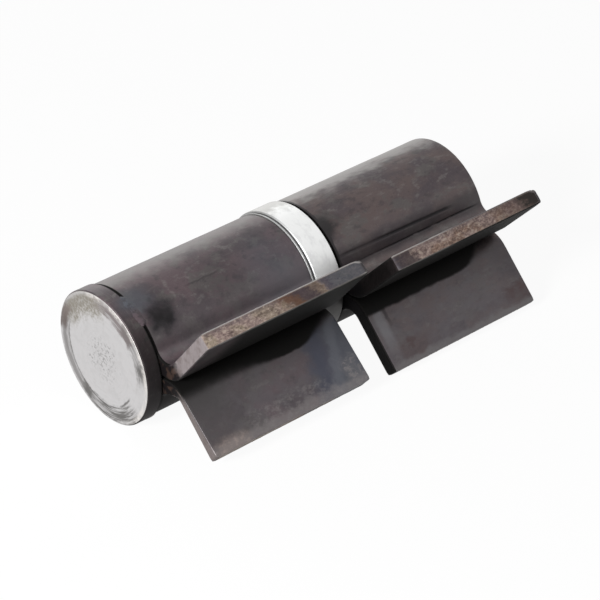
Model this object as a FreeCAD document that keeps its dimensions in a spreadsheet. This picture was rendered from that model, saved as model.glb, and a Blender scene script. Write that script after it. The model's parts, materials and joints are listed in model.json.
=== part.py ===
import FreeCAD, Part
import math
import os
import Sketcher
from FreeCAD import Placement, Rotation, Vector

# A heavy weld-on barrel hinge.
#
# The barrel lies along X. The origin is the centre of the ground end of the pin's head, and +X
# runs along the barrel to its closed end. The wings of both halves point to -Y, and Z is up from
# the surface the hinge lies on: it rests on its barrel and on the tips of the post half's short
# wings. All lengths are in millimetres and all angles in degrees.

SIZES = {
    # the two yokes, pressed from plate
    "plate": (6.0, "thickness of the plate"),
    "bend": (5.5, "radius on the hollow side where a wing leaves the roll"),
    "mouth_slot": (0.8, "gap between the two bends where the plate closes on itself"),
    "wing_angle": (46.0, "each wing off the middle of the mouth: 90 between them, plus spring-back"),
    "long_wing": (26.0, "flat length of the upper wing"),
    "short_wing": (23.5, "flat length of the lower wing"),
    "yoke_length": (70.0, "length of a yoke along the barrel"),
    "long_corner": (2.5, "corner radius of the long wing"),
    "short_corner": (1.5, "corner radius of the short wing"),
    "edge_break": (0.4, "chamfer of the yoke's outer edges"),
    "half_turn": (4.3, "how far the gate half is turned up from the post half as they lie"),
    # the head end
    "head_width": (6.2, "width of the pin's head and of the collar round it"),
    "collar_step": (0.6, "how far the collar stands out past the yokes"),
    "collar_wall": (3.8, "wall of the collar round the pin's head"),
    "collar_chamfer": (0.5, "chamfer of the collar's outer rim"),
    "weld_depth": (1.9, "depth and half width of a flush weld's groove"),
    "weld_sink": (0.15, "how far a ground weld lies below the faces beside it"),
    "weld_crack": (0.4, "open crack between the collar and the yoke"),
    "stitch_arc": (32.0, "arc of one stitch weld"),
    "stitch_start": (43.6, "where the first stitch starts, up from the mouth"),
    "stitch_count": (3.0, "stitch welds round the collar"),
    "stitch_reach": (1.6, "how far a stitch laps over the yoke and the collar"),
    "stitch_crown": (0.25, "height of a stitch over the collar"),
    "stitch_root": (1.2, "how deep a stitch reaches into the crack, below the yoke's outside"),
    # the pin and what it runs in
    "pin_diameter": (25.0, "pin; everything round it is sized outwards from it"),
    "running_gap": (0.05, "radial gap of a running fit"),
    "bush_wall": (2.5, "wall of a bush"),
    "bush_length": (20.0, "length of a bush"),
    "bush_inset": (1.0, "how far the near bush lies inside its sleeve"),
    "sleeve_wall": (3.95, "wall of the post sleeve round its bushes"),
    "tail_washer_width": (1.6, "washer behind the far bush"),
    "tail_play": (0.2, "end play of the pin"),
    "tail_ring_width": (1.3, "retaining ring"),
    "tail_ring_wall": (2.6, "radial width of the retaining ring"),
    "tail_groove_depth": (1.2, "groove of the retaining ring"),
    "tail_ring_sweep": (318.0, "how far the split ring reaches round"),
    "tail_end": (2.4, "pin past the retaining ring"),
    "pin_lead": (0.8, "chamfer at the pin's tail"),
    "plug_width": (6.0, "plug that closes the far end"),
    "plug_clear": (3.5, "from the pin's tail to the plug"),
    "plug_chamfer": (0.6, "chamfer of the plug's rim"),
    # the thrust bearing between the halves
    "shim_width": (1.0, "shim washer"),
    "shim_step": (0.3, "how far the shim washer stands out past the yokes"),
    "race_width": (3.18, "width of a race"),
    "race_bore_gap": (0.5, "radial gap between a part of the post half and the pin"),
    "roller_diameter": (6.0, "rollers"),
    "roller_count": (12.0, "rollers"),
    "roller_gap": (0.02, "gap between a roller and a race"),
    "cage_width": (2.4, "thickness of the cage"),
    "cage_gap": (0.75, "radial gap of the cage to the pin and to the cover"),
    "cage_rim": (1.35, "width of the cage's rims inside and outside its pockets"),
    "pocket_gap": (0.15, "gap between a roller and its pocket in the cage"),
    "cover_step": (0.8, "how far the bearing's cover stands out past the yokes"),
    "cover_wall": (2.8, "wall of the cover"),
    "cover_chamfer": (0.45, "chamfer of the cover's rims"),
    "cover_clear": (0.4, "radial gap between the cover and the turning race"),
    "face_gap": (1.0, "gap that lets the post yoke turn past the cover"),
}

doc = FreeCAD.newDocument("BarrelHinge")
sheet = doc.addObject("Spreadsheet::Sheet", "Sizes")


def text_of(value):
    """A plain number or a Size, as it is written in a formula."""
    return value.formula if isinstance(value, Size) else repr(float(value))


def number_of(value):
    """A plain number or a Size, as a number."""
    return value.number if isinstance(value, Size) else float(value)


class Size:
    """A length held twice: as a number to draw with, and as a formula on the sheet to bind to."""

    def __init__(self, number, formula):
        self.number = number
        self.formula = formula

    def __add__(self, other):
        return Size(self.number + number_of(other), "(%s + %s)" % (self.formula, text_of(other)))

    def __sub__(self, other):
        return Size(self.number - number_of(other), "(%s - %s)" % (self.formula, text_of(other)))

    def __mul__(self, other):
        return Size(self.number * number_of(other), "(%s * %s)" % (self.formula, text_of(other)))

    def __truediv__(self, other):
        return Size(self.number / number_of(other), "(%s / %s)" % (self.formula, text_of(other)))

    def __neg__(self):
        return Size(-self.number, "(-%s)" % self.formula)


def fill_sheet():
    """Write every driving size to the sheet, and hand each back under its own name."""
    named = {}
    for row, (alias, (value, note)) in enumerate(SIZES.items(), start=1):
        sheet.set("A%d" % row, str(value))
        sheet.setAlias("A%d" % row, alias)
        sheet.set("B%d" % row, note)
        named[alias] = Size(value, "Sizes." + alias)
    doc.recompute()
    return named


size = fill_sheet()

# Radii that several pieces share, from the pin outwards.
pin_radius = size["pin_diameter"] / 2
running_bore = pin_radius + size["running_gap"]
bush_radius = running_bore + size["bush_wall"]
core_radius = bush_radius + size["sleeve_wall"]
barrel_radius = core_radius + size["plate"]
collar_radius = barrel_radius + size["collar_step"]
head_radius = collar_radius - size["collar_wall"]
cover_radius = barrel_radius + size["cover_step"]
cover_bore = cover_radius - size["cover_wall"]

# The cage fills the space between the pin and the cover, and its pockets set the rollers' length.
cage_bore = pin_radius + size["cage_gap"]
cage_radius = cover_bore - size["cage_gap"]
pocket_bore = cage_bore + size["cage_rim"]
pocket_length = cage_radius - size["cage_rim"] - pocket_bore
roller_bore = pocket_bore + size["pocket_gap"]
roller_length = pocket_length - size["pocket_gap"] * 2

# Stations along the barrel, from the head to the far end, and then back along the pin's tail.
gate_start = size["head_width"] + size["weld_crack"]
shim_start = gate_start + size["yoke_length"]
bearing_start = shim_start + size["shim_width"]
bearing_width = (size["race_width"] + size["roller_gap"]) * 2 + size["roller_diameter"]
roller_station = bearing_start + bearing_width / 2
post_start = bearing_start + bearing_width
hinge_end = post_start + size["yoke_length"]
plug_start = hinge_end - size["plug_width"]
pin_end = plug_start - size["plug_clear"]
tail_ring_end = pin_end - size["tail_end"]
tail_ring_start = tail_ring_end - size["tail_ring_width"]
tail_washer_end = tail_ring_start - size["tail_play"]
tail_washer_start = tail_washer_end - size["tail_washer_width"]
far_bush_start = tail_washer_start - size["bush_length"]
near_bush_start = post_start + size["bush_inset"]


def bend_centre():
    """Centre of the bend into the upper wing: how far out from the barrel's axis, and how high."""
    rise = size["bend"].number + size["plate"].number + size["mouth_slot"].number / 2
    reach = math.sqrt((barrel_radius.number + size["bend"].number) ** 2 - rise ** 2)
    return reach, rise


def lying_angle():
    """How far a yoke turns up about the barrel's axis when its short wing's tip meets the floor.

    The cover is the largest round, so the hinge lies on it, and the floor is its radius below the
    axis. What meets the floor is the tip face's lower edge, just past its chamfer.
    """
    reach, rise = bend_centre()
    angle = math.radians(size["wing_angle"].number)
    depth = size["bend"].number + size["edge_break"].number
    length = size["short_wing"].number
    out = reach + depth * math.sin(angle) + length * math.cos(angle)
    down = rise - depth * math.cos(angle) + length * math.sin(angle)
    return math.degrees(math.atan2(down, out) - math.asin(cover_radius.number / math.hypot(out, down)))


post_angle = lying_angle()
gate_angle = post_angle + size["half_turn"].number


def new_body(label, station, angle=0.0):
    """An empty body whose own origin lies on the barrel's axis, at a station along it.

    A positive angle turns the wings up.
    """
    body = doc.addObject("PartDesign::Body", label)
    body.Label = label
    body.Placement = Placement(Vector(number_of(station), 0, 0), Rotation(Vector(1, 0, 0), -angle))
    if isinstance(station, Size):
        body.setExpression("Placement.Base.x", station.formula)
    return body


def new_sketch(body, role):
    """A sketch on one of the body's own origin planes."""
    sketch = body.newObject("Sketcher::SketchObject", body.Label + "_sketch")
    plane = [feature for feature in body.Origin.OriginFeatures if feature.Role == role][0]
    sketch.AttachmentSupport = [(plane, "")]
    sketch.MapMode = "FlatFace"
    return sketch


def bind(sketch, kind, *where, to):
    """Add a dimension to a sketch and bind it to a formula on the sheet."""
    number = math.radians(number_of(to)) if kind == "Angle" else number_of(to)
    index = sketch.addConstraint(Sketcher.Constraint(kind, *where, number))
    if isinstance(to, Size):
        sketch.setExpression("Constraints[%d]" % index, to.formula)


def pin_down(sketch, geometry, end, point):
    """Dimension one point of a sketch from its origin. A coordinate of None lies on an axis."""
    across, up = point
    if across is None:
        sketch.addConstraint(Sketcher.Constraint("PointOnObject", geometry, end, -2))
    else:
        bind(sketch, "DistanceX", -1, 1, geometry, end, to=across)
    if up is None:
        sketch.addConstraint(Sketcher.Constraint("PointOnObject", geometry, end, -1))
    else:
        bind(sketch, "DistanceY", -1, 1, geometry, end, to=up)


def draw_outline(sketch, points):
    """A closed outline of straight lines, with every corner dimensioned."""
    corners = [Vector(number_of(across or 0), number_of(up or 0), 0) for across, up in points]
    count = len(corners)
    for index in range(count):
        sketch.addGeometry(Part.LineSegment(corners[index], corners[(index + 1) % count]), False)
    for index in range(count):
        sketch.addConstraint(Sketcher.Constraint("Coincident", index, 2, (index + 1) % count, 1))
        pin_down(sketch, index, 1, points[index])


def turned(label, station, outline, angle=0.0, sweep=360.0):
    """A piece turned round the barrel's axis. The outline gives (distance along, radius)."""
    body = new_body(label, station, angle)
    sketch = new_sketch(body, "XY_Plane")
    draw_outline(sketch, outline)
    turn = body.newObject("PartDesign::Revolution", label + "_turn")
    turn.Profile = sketch
    turn.ReferenceAxis = (sketch, ["H_Axis"])
    turn.Angle = sweep
    doc.recompute()
    return body


def tube_outline(width, inside, outside):
    """The section of a plain ring or tube."""
    return [(None, inside), (width, inside), (width, outside), (None, outside)]


def draw_yoke_section(sketch):
    """The plate's section: a roll that closes on itself, then bends out into two wings.

    Across is +Y and up is Z, so the mouth points to the left. The two sides of each bend share
    their centre, and both meet the roll and the wing as tangents.
    """
    reach, rise = bend_centre()
    wing = math.radians(size["wing_angle"].number)
    inner = core_radius.number
    outer = barrel_radius.number
    hollow = size["bend"].number
    full = hollow + size["plate"].number
    meet = math.atan2(rise, reach)
    centre = Vector(0, 0, 0)
    lines = {}
    arcs = {}

    def add_arc(name, middle, radius, start, stop):
        circle = Part.Circle(middle, Vector(0, 0, 1), radius)
        arcs[name] = sketch.addGeometry(Part.ArcOfCircle(circle, start, stop), False)

    def add_line(name, start, stop):
        lines[name] = sketch.addGeometry(Part.LineSegment(start, stop), False)

    add_arc("outer", centre, outer, math.pi + meet, 3 * math.pi - meet)
    add_arc("inner", centre, inner, math.pi + meet, 3 * math.pi - meet)
    for side, sign, length in (("upper", 1, size["long_wing"]), ("lower", -1, size["short_wing"])):
        middle = Vector(-reach, sign * rise, 0)
        towards = Vector(-math.sin(wing), -sign * math.cos(wing), 0)
        along = Vector(-math.cos(wing), sign * math.sin(wing), 0)
        root_turn = 2 * math.pi - meet if sign > 0 else meet
        wing_turn = math.atan2(towards.y, towards.x) % (2 * math.pi)
        turns = sorted((root_turn, wing_turn))
        add_arc(side + "_hollow", middle, hollow, *turns)
        add_arc(side + "_full", middle, full, *turns)
        hollow_root = middle + towards * hollow
        full_root = middle + towards * full
        hollow_tip = hollow_root + along * length.number
        full_tip = full_root + along * length.number
        add_line(side + "_hollow", hollow_tip, hollow_root)
        add_line(side + "_full", full_tip, full_root)
        add_line(side + "_tip", hollow_tip, full_tip)

    def tie(kind, *where):
        sketch.addConstraint(Sketcher.Constraint(kind, *where))

    tie("Coincident", arcs["outer"], 3, -1, 1)
    tie("Coincident", arcs["inner"], 3, -1, 1)
    bind(sketch, "Radius", arcs["outer"], to=barrel_radius)
    bind(sketch, "Radius", arcs["inner"], to=core_radius)
    rise_size = size["bend"] + size["plate"] + size["mouth_slot"] / 2
    for side, roll_end, wing_end, sign in (("upper", 2, 1, -1), ("lower", 1, 2, 1)):
        root_end = 3 - wing_end
        tie("Coincident", arcs[side + "_full"], 3, arcs[side + "_hollow"], 3)
        for name, roll in (("_hollow", "outer"), ("_full", "inner")):
            tie("Tangent", arcs[side + name], root_end, arcs[roll], roll_end)
            tie("Tangent", lines[side + name], 2, arcs[side + name], wing_end)
            tie("Coincident", lines[side + name], 1, lines[side + "_tip"], 1 if name == "_hollow" else 2)
        tie("Parallel", lines[side + "_hollow"], lines[side + "_full"])
        tie("Perpendicular", lines[side + "_hollow"], lines[side + "_tip"])
        bind(sketch, "Radius", arcs[side + "_hollow"], to=size["bend"])
        if side == "upper":
            bind(sketch, "DistanceY", -1, 1, arcs[side + "_hollow"], 3, to=rise_size)
            bind(sketch, "Distance", lines[side + "_hollow"], to=size["long_wing"])
            bind(sketch, "Angle", lines[side + "_hollow"], to=-size["wing_angle"])
        else:
            bind(sketch, "DistanceY", arcs[side + "_hollow"], 3, -1, 1, to=rise_size)
            bind(sketch, "Distance", lines[side + "_hollow"], to=size["short_wing"])
            bind(sketch, "Angle", lines[side + "_hollow"], to=size["wing_angle"])


def edges_where(body, test):
    """Names of the edges of a body's last feature that pass a test."""
    return ["Edge%d" % number for number, edge in enumerate(body.Tip.Shape.Edges, start=1) if test(edge)]


def dress(body, kind, name, amount, test):
    """Round ("Fillet") or break ("Chamfer") the edges that pass a test."""
    base = body.Tip
    names = edges_where(body, test)
    dressing = body.newObject("PartDesign::" + kind, body.Label + name)
    dressing.Base = (base, names)
    measure = {"Fillet": "Radius", "Chamfer": "Size"}[kind]
    dressing.setExpression(measure, amount.formula)
    doc.recompute()


def build_yoke(label, station, angle):
    """A plate rolled round the barrel, with its two wings. Both yokes are the same pressing."""
    body = new_body(label, station, angle)
    sketch = new_sketch(body, "YZ_Plane")
    draw_yoke_section(sketch)
    roll = body.newObject("PartDesign::Pad", label + "_roll")
    roll.Profile = sketch
    roll.Length = size["yoke_length"].number
    roll.setExpression("Length", size["yoke_length"].formula)
    doc.recompute()
    thickness = size["plate"].number
    far_face = size["yoke_length"].number

    def at_an_end(edge):
        return min(abs(edge.BoundBox.XMax), abs(edge.BoundBox.XMin - far_face)) < 0.001

    def is_corner(edge):
        straight = edge.Curve.TypeId == "Part::GeomLine"
        return straight and abs(edge.Length - thickness) < 0.001 and at_an_end(edge)

    def on_roll(edge):
        return edge.Curve.TypeId == "Part::GeomCircle" and abs(edge.Curve.Radius - barrel_radius.number) < 0.001

    dress(body, "Fillet", "_long_corners", size["long_corner"], lambda e: is_corner(e) and e.CenterOfMass.z > 0)
    dress(body, "Fillet", "_short_corners", size["short_corner"], lambda e: is_corner(e) and e.CenterOfMass.z < 0)
    dress(body, "Chamfer", "_rims", size["edge_break"], on_roll)


def build_pin():
    """The pin: a wide flat head, a plain shank, and a groove near its tail for the ring."""
    bevel = size["weld_depth"]
    width = size["head_width"]
    groove = pin_radius - size["tail_groove_depth"]
    lead = size["pin_lead"]
    turned("pivot_pin", 0, [
        (None, None), (pin_end, None), (pin_end, pin_radius - lead), (pin_end - lead, pin_radius),
        (tail_ring_end, pin_radius), (tail_ring_end, groove), (tail_ring_start, groove),
        (tail_ring_start, pin_radius), (width, pin_radius), (width, head_radius),
        (bevel, head_radius), (None, head_radius - bevel),
    ])


def build_head_collar():
    """The ring round the pin's head. Its inner rim is bevelled for the weld."""
    bevel = size["weld_depth"]
    chamfer = size["collar_chamfer"]
    width = size["head_width"]
    turned("head_collar", 0, [
        (None, head_radius + bevel), (bevel, head_radius), (width, head_radius),
        (width, collar_radius), (chamfer, collar_radius), (None, collar_radius - chamfer),
    ])


def build_head_weld():
    """The weld in the V between the head and the collar, ground a little below their faces."""
    sink = size["weld_sink"]
    depth = size["weld_depth"]
    half = depth - sink
    turned("head_weld", 0, [
        (sink, head_radius - half), (depth, head_radius), (sink, head_radius + half),
    ])


def build_stitches():
    """Short welds that bridge the open crack between the collar and the gate yoke."""
    reach = size["stitch_reach"]
    far_side = reach + size["weld_crack"]
    root = barrel_radius - size["stitch_root"]
    crest = collar_radius + size["stitch_crown"]
    outline = [
        (None, collar_radius), (reach, collar_radius), (reach, root), (far_side, root),
        (far_side, barrel_radius), (far_side + reach, barrel_radius), (far_side, crest),
        (reach / 2, crest),
    ]
    count = round(size["stitch_count"].number)
    arc = size["stitch_arc"].number
    station = size["head_width"] - reach
    # A turned piece starts opposite the mouth and runs down the back, so it ends at 180 - arc.
    first = gate_angle + size["stitch_start"].number + arc - 180
    for index in range(count):
        turned("collar_stitch_%d" % (index + 1), station, outline, first + index * 360 / count, arc)


def build_gate_sleeve():
    """The thick tube in the gate yoke. The pin's head bears on its end, and the pin is tight in it."""
    length = shim_start - size["head_width"]
    turned("gate_sleeve", size["head_width"], tube_outline(length, pin_radius, core_radius))


def build_post_sleeve():
    """The tube in the post yoke. It holds the bushes, and ends at the plug."""
    length = plug_start - post_start
    turned("post_sleeve", post_start, tube_outline(length, bush_radius, core_radius))


def build_bushes():
    """Two bronze bushes, tight in the post sleeve, that turn on the pin."""
    for label, station in (("near_bush", near_bush_start), ("far_bush", far_bush_start)):
        turned(label, station, tube_outline(size["bush_length"], running_bore, bush_radius))


def build_shim_washer():
    """The washer between the gate half's end and the bearing."""
    outside = barrel_radius + size["shim_step"]
    turned("shim_washer", shim_start, tube_outline(size["shim_width"], pin_radius, outside))


def build_races():
    """The fixed race sits tight on the pin, and the turning race stands on the post sleeve's end."""
    width = size["race_width"]
    turned("fixed_race", bearing_start, tube_outline(width, pin_radius, cover_bore))
    turned("turning_race", post_start - width, tube_outline(
        width, pin_radius + size["race_bore_gap"], cover_bore - size["cover_clear"]))


def draw_pocket(sketch, width):
    """A rectangle on the sketch's X axis that takes one roller."""
    low = Vector(pocket_bore.number, -width.number / 2, 0)
    high = low + Vector(pocket_length.number, width.number, 0)
    corners = [low, Vector(high.x, low.y, 0), high, Vector(low.x, high.y, 0)]
    for index in range(4):
        sketch.addGeometry(Part.LineSegment(corners[index], corners[(index + 1) % 4]), False)
    for index in range(4):
        sketch.addConstraint(Sketcher.Constraint("Coincident", index, 2, (index + 1) % 4, 1))
    for index, kind in ((0, "Horizontal"), (2, "Horizontal"), (3, "Vertical")):
        sketch.addConstraint(Sketcher.Constraint(kind, index))
    sketch.addConstraint(Sketcher.Constraint("Symmetric", 1, 1, 1, 2, -1))
    bind(sketch, "DistanceX", -1, 1, 0, 1, to=pocket_bore)
    bind(sketch, "DistanceX", 0, 1, 0, 2, to=pocket_length)
    bind(sketch, "DistanceY", 1, 1, 1, 2, to=width)


def build_cage():
    """A flat ring with a square pocket for each roller."""
    body = turned("roller_cage", roller_station - size["cage_width"] / 2,
                  tube_outline(size["cage_width"], cage_bore, cage_radius))
    sketch = new_sketch(body, "YZ_Plane")
    draw_pocket(sketch, size["roller_diameter"] + size["pocket_gap"] * 2)
    pocket = body.newObject("PartDesign::Pocket", body.Label + "_pocket")
    pocket.Profile = sketch
    pocket.setExpression("Length", size["cage_width"].formula)
    pocket.Reversed = True
    doc.recompute()
    pockets = body.newObject("PartDesign::PolarPattern", body.Label + "_pockets")
    pockets.Originals = [pocket]
    pockets.Axis = (sketch, ["N_Axis"])
    pockets.Angle = 360
    pockets.Occurrences = round(size["roller_count"].number)
    body.Tip = pockets
    doc.recompute()


def build_rollers():
    """The bearing's rollers, each lying along a radius, spaced evenly round the cage."""
    count = round(size["roller_count"].number)
    for index in range(count):
        turn = 2 * math.pi * index / count
        label = "thrust_roller_%02d" % (index + 1)
        roller = doc.addObject("Part::Cylinder", label)
        roller.Label = label
        roller.setExpression("Radius", (size["roller_diameter"] / 2).formula)
        roller.setExpression("Height", roller_length.formula)
        outward = Vector(0, math.cos(turn), math.sin(turn))
        place = Vector(roller_station.number, 0, 0) + outward * roller_bore.number
        roller.Placement = Placement(place, Rotation(Vector(0, 0, 1), outward))


def build_cover():
    """The bright ring over the bearing. It is tight on the fixed race and clears the turning one."""
    chamfer = size["cover_chamfer"]
    width = bearing_width - size["face_gap"]
    turned("bearing_cover", bearing_start, [
        (None, cover_bore), (width, cover_bore), (width, cover_radius - chamfer),
        (width - chamfer, cover_radius), (chamfer, cover_radius), (None, cover_radius - chamfer),
    ])


def build_tail():
    """What holds the pin in the post half: a washer behind the far bush and a split ring."""
    turned("tail_washer", tail_washer_start, tube_outline(
        size["tail_washer_width"], pin_radius + size["race_bore_gap"], bush_radius))
    seat = pin_radius - size["tail_groove_depth"]
    turned("tail_ring", tail_ring_start, tube_outline(
        size["tail_ring_width"], seat, seat + size["tail_ring_wall"]), sweep=size["tail_ring_sweep"].number)


def build_end_plug():
    """The plug that closes the far end, pressed in flush."""
    chamfer = size["plug_chamfer"]
    width = size["plug_width"]
    turned("end_plug", plug_start, [
        (None, None), (width, None), (width, core_radius - chamfer), (width - chamfer, core_radius),
        (None, core_radius),
    ])


build_yoke("gate_yoke", gate_start, gate_angle)
build_yoke("post_yoke", post_start, post_angle)
build_pin()
build_head_collar()
build_head_weld()
build_stitches()
build_gate_sleeve()
build_post_sleeve()
build_bushes()
build_shim_washer()
build_races()
build_cage()
build_rollers()
build_cover()
build_tail()
build_end_plug()


def check_and_export():
    """Stop on a failed feature or a bad shape, then write one STEP file for each piece."""
    doc.recompute()
    failed = [item.Label for item in doc.Objects if {"Invalid", "Error"} & set(item.State)]
    if failed:
        raise RuntimeError("failed: " + ", ".join(failed))
    pieces = [item for item in doc.Objects if item.TypeId in ("PartDesign::Body", "Part::Cylinder")]
    os.makedirs("parts", exist_ok=True)
    for piece in pieces:
        shape = piece.Shape
        if shape.isNull() or not shape.isValid() or not shape.Solids:
            raise RuntimeError("bad shape: " + piece.Label)
        shape.exportStep("parts/%s.step" % piece.Label)
        box = shape.BoundBox
        print("%-18s %9.1f mm3  x %.2f to %.2f" % (piece.Label, shape.Volume, box.XMin, box.XMax))
    print("%d pieces, lying at %.3f degrees" % (len(pieces), post_angle))


check_and_export()
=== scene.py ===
# %% [markdown]
# # A weld-on barrel hinge
#
# A heavy gate hinge: two thick plates are rolled round a barrel and bent out into wings, the
# barrels run end to end on one pin, and a bright ring covers the bearing between them. This file
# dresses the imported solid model. The solids keep every size, and what is made here gives the
# pieces that show their worn edges, their weld beads and the finish of their steel.

# %% Load the solid model
import json
import math

import bmesh
import bpy
import numpy as np
from mathutils import Matrix, Vector, noise

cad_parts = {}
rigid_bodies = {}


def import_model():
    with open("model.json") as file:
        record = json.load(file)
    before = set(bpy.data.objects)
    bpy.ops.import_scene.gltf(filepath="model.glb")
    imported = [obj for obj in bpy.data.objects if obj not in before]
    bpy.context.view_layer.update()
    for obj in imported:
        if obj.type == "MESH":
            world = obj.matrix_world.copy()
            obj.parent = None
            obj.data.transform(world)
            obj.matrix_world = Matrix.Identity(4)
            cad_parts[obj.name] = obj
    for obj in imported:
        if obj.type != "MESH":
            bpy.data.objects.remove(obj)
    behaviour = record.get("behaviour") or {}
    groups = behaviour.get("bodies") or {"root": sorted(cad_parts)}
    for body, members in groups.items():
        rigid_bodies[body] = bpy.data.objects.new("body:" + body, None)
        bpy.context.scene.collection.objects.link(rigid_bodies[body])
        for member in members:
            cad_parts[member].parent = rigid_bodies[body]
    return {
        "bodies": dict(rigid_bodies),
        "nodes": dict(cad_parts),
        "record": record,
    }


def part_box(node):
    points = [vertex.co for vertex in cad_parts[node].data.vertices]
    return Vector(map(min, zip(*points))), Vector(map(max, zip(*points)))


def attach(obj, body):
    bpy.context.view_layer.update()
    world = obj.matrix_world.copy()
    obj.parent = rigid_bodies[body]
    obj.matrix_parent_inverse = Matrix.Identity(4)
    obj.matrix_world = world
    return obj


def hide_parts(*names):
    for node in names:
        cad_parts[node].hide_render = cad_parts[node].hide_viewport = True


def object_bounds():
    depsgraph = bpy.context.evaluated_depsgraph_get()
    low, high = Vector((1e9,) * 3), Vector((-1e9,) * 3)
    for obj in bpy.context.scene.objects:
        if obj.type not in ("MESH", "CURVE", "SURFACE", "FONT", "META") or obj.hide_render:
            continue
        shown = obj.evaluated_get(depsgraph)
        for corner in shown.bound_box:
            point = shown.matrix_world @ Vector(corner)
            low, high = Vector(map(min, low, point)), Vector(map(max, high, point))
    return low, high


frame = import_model()
solid_box = [list(corner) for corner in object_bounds()]
MM = 0.001
print("nodes:", len(frame["nodes"]), "bodies:", sorted(frame["bodies"]))

# %% [markdown]
# The sizes that shape a dressed piece are the solid model's own. What can be measured on the
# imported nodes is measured. The section of the plate can't be read off a box, so its few driving
# sizes are repeated here in millimetres, and everything else is worked out from them.

# %% Sizes, in millimetres
def node_span(node, axis=0):
    """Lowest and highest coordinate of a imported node, in millimetres. Axis 0 is the barrel's."""
    low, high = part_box(node)
    return low[axis] / MM, high[axis] / MM


def node_radius(node):
    """Radius of a round node on the barrel's axis, in millimetres."""
    return node_span(node, 1)[1]


PLATE = 6.0
BEND = 5.5
MOUTH_SLOT = 0.8
WING_ANGLE = math.radians(46.0)
LONG_WING = 26.0
SHORT_WING = 23.5
EDGE_BREAK = 0.4
HALF_TURN = math.radians(4.3)

BARREL = node_radius("end_plug") + PLATE
COLLAR = node_radius("head_collar")
COVER = node_radius("bearing_cover")
GATE_SPAN = node_span("gate_yoke")
POST_SPAN = node_span("post_yoke")
HEAD_WIDTH = node_span("head_collar")[1]

BEND_RISE = BEND + PLATE + MOUTH_SLOT / 2
BEND_REACH = math.sqrt((BARREL + BEND) ** 2 - BEND_RISE ** 2)
ROLL_MEETS = math.atan2(BEND_RISE, BEND_REACH)


def lying_angle():
    """How far the post half turns up when its short wing's tip meets the floor."""
    depth = BEND + EDGE_BREAK
    out = BEND_REACH + depth * math.sin(WING_ANGLE) + SHORT_WING * math.cos(WING_ANGLE)
    down = BEND_RISE - depth * math.cos(WING_ANGLE) + SHORT_WING * math.sin(WING_ANGLE)
    return math.atan2(down, out) - math.asin(COVER / math.hypot(out, down))


POST_ANGLE = lying_angle()
GATE_ANGLE = POST_ANGLE + HALF_TURN
print("radii: barrel %.2f, collar %.2f, cover %.2f" % (BARREL, COLLAR, COVER))
print("the post half turns up %.3f degrees" % math.degrees(POST_ANGLE))

# %% [markdown]
# ## The section of the plate
#
# On the real hinge one strip of hot-rolled plate is pressed round a mandrel: wing, bend, almost a
# whole turn, bend, wing. A lesson in bending metal is to follow the middle of its thickness. The
# path below walks along that middle line and gives, for each distance walked, a point and the
# direction of the outer side. Any detail placed at (distance, depth) then bends with the plate.

# %% Walk along the middle of the plate
MIDDLE_BEND = BEND + PLATE / 2
MIDDLE_ROLL = BARREL - PLATE / 2
BEND_SWEEP = math.pi - (ROLL_MEETS + math.pi / 2 - WING_ANGLE)
ROLL_SWEEP = 2 * (math.pi - ROLL_MEETS)

SPANS = [
    ("upper_flat", LONG_WING),
    ("upper_bend", MIDDLE_BEND * BEND_SWEEP),
    ("roll", MIDDLE_ROLL * ROLL_SWEEP),
    ("lower_bend", MIDDLE_BEND * BEND_SWEEP),
    ("lower_flat", SHORT_WING),
]
STARTS = {}
STRIP = 0.0
for span_name, span_length in SPANS:
    STARTS[span_name] = STRIP
    STRIP += span_length
LOWER_FLAT = STARTS["lower_flat"]


def heading(angle):
    """Unit vectors, outwards and up, at an angle above the middle of the mouth."""
    return np.stack([np.cos(angle), np.sin(angle)], axis=-1)


def bend_centre(side):
    """Centre of the bend into the upper wing, side 1, or into the lower wing, side -1."""
    return np.array([BEND_REACH, side * BEND_RISE])


def flat_points(side, from_bend):
    """Points and outer directions on a wing's flat, by their distance from its bend."""
    inwards = np.array([math.sin(WING_ANGLE), -side * math.cos(WING_ANGLE)])
    along = np.array([math.cos(WING_ANGLE), side * math.sin(WING_ANGLE)])
    points = bend_centre(side) + MIDDLE_BEND * inwards + from_bend[:, None] * along
    return points, np.broadcast_to(-inwards, points.shape)


def section(walked):
    """Points on the middle line and the directions of the outer side, in (outwards, up)."""
    points = np.zeros((len(walked), 2))
    outer = np.zeros((len(walked), 2))
    ends = [STARTS[name] + length for name, length in SPANS]
    which = np.searchsorted(ends[:-1], walked, side="left")
    for index, (name, length) in enumerate(SPANS):
        here = which == index
        into = walked[here] - STARTS[name]
        side = -1 if name.startswith("lower") else 1
        if name == "roll":
            outer[here] = heading(ROLL_MEETS + into / MIDDLE_ROLL)
            points[here] = MIDDLE_ROLL * outer[here]
        elif name.endswith("flat"):
            from_bend = length - into if side > 0 else into
            points[here], outer[here] = flat_points(side, from_bend)
        else:
            start = WING_ANGLE - math.pi / 2 if side > 0 else math.pi - ROLL_MEETS
            spoke = heading(start - into / MIDDLE_BEND)
            points[here] = bend_centre(side) + MIDDLE_BEND * spoke
            outer[here] = -spoke
    return points, outer


def roll_distance(angle):
    """How far along the strip the upper part of the roll passes an angle in degrees."""
    return STARTS["roll"] + (math.radians(angle) - ROLL_MEETS) * MIDDLE_ROLL


def place_section(points, angle):
    """From (outwards, up) in the section to the model's Y and Z, turned up by an angle."""
    outwards, up = points.T
    y = -(outwards * math.cos(angle) - up * math.sin(angle))
    z = outwards * math.sin(angle) + up * math.cos(angle)
    return y, z


print("strip of plate: %.1f mm long before bending" % STRIP)

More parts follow.
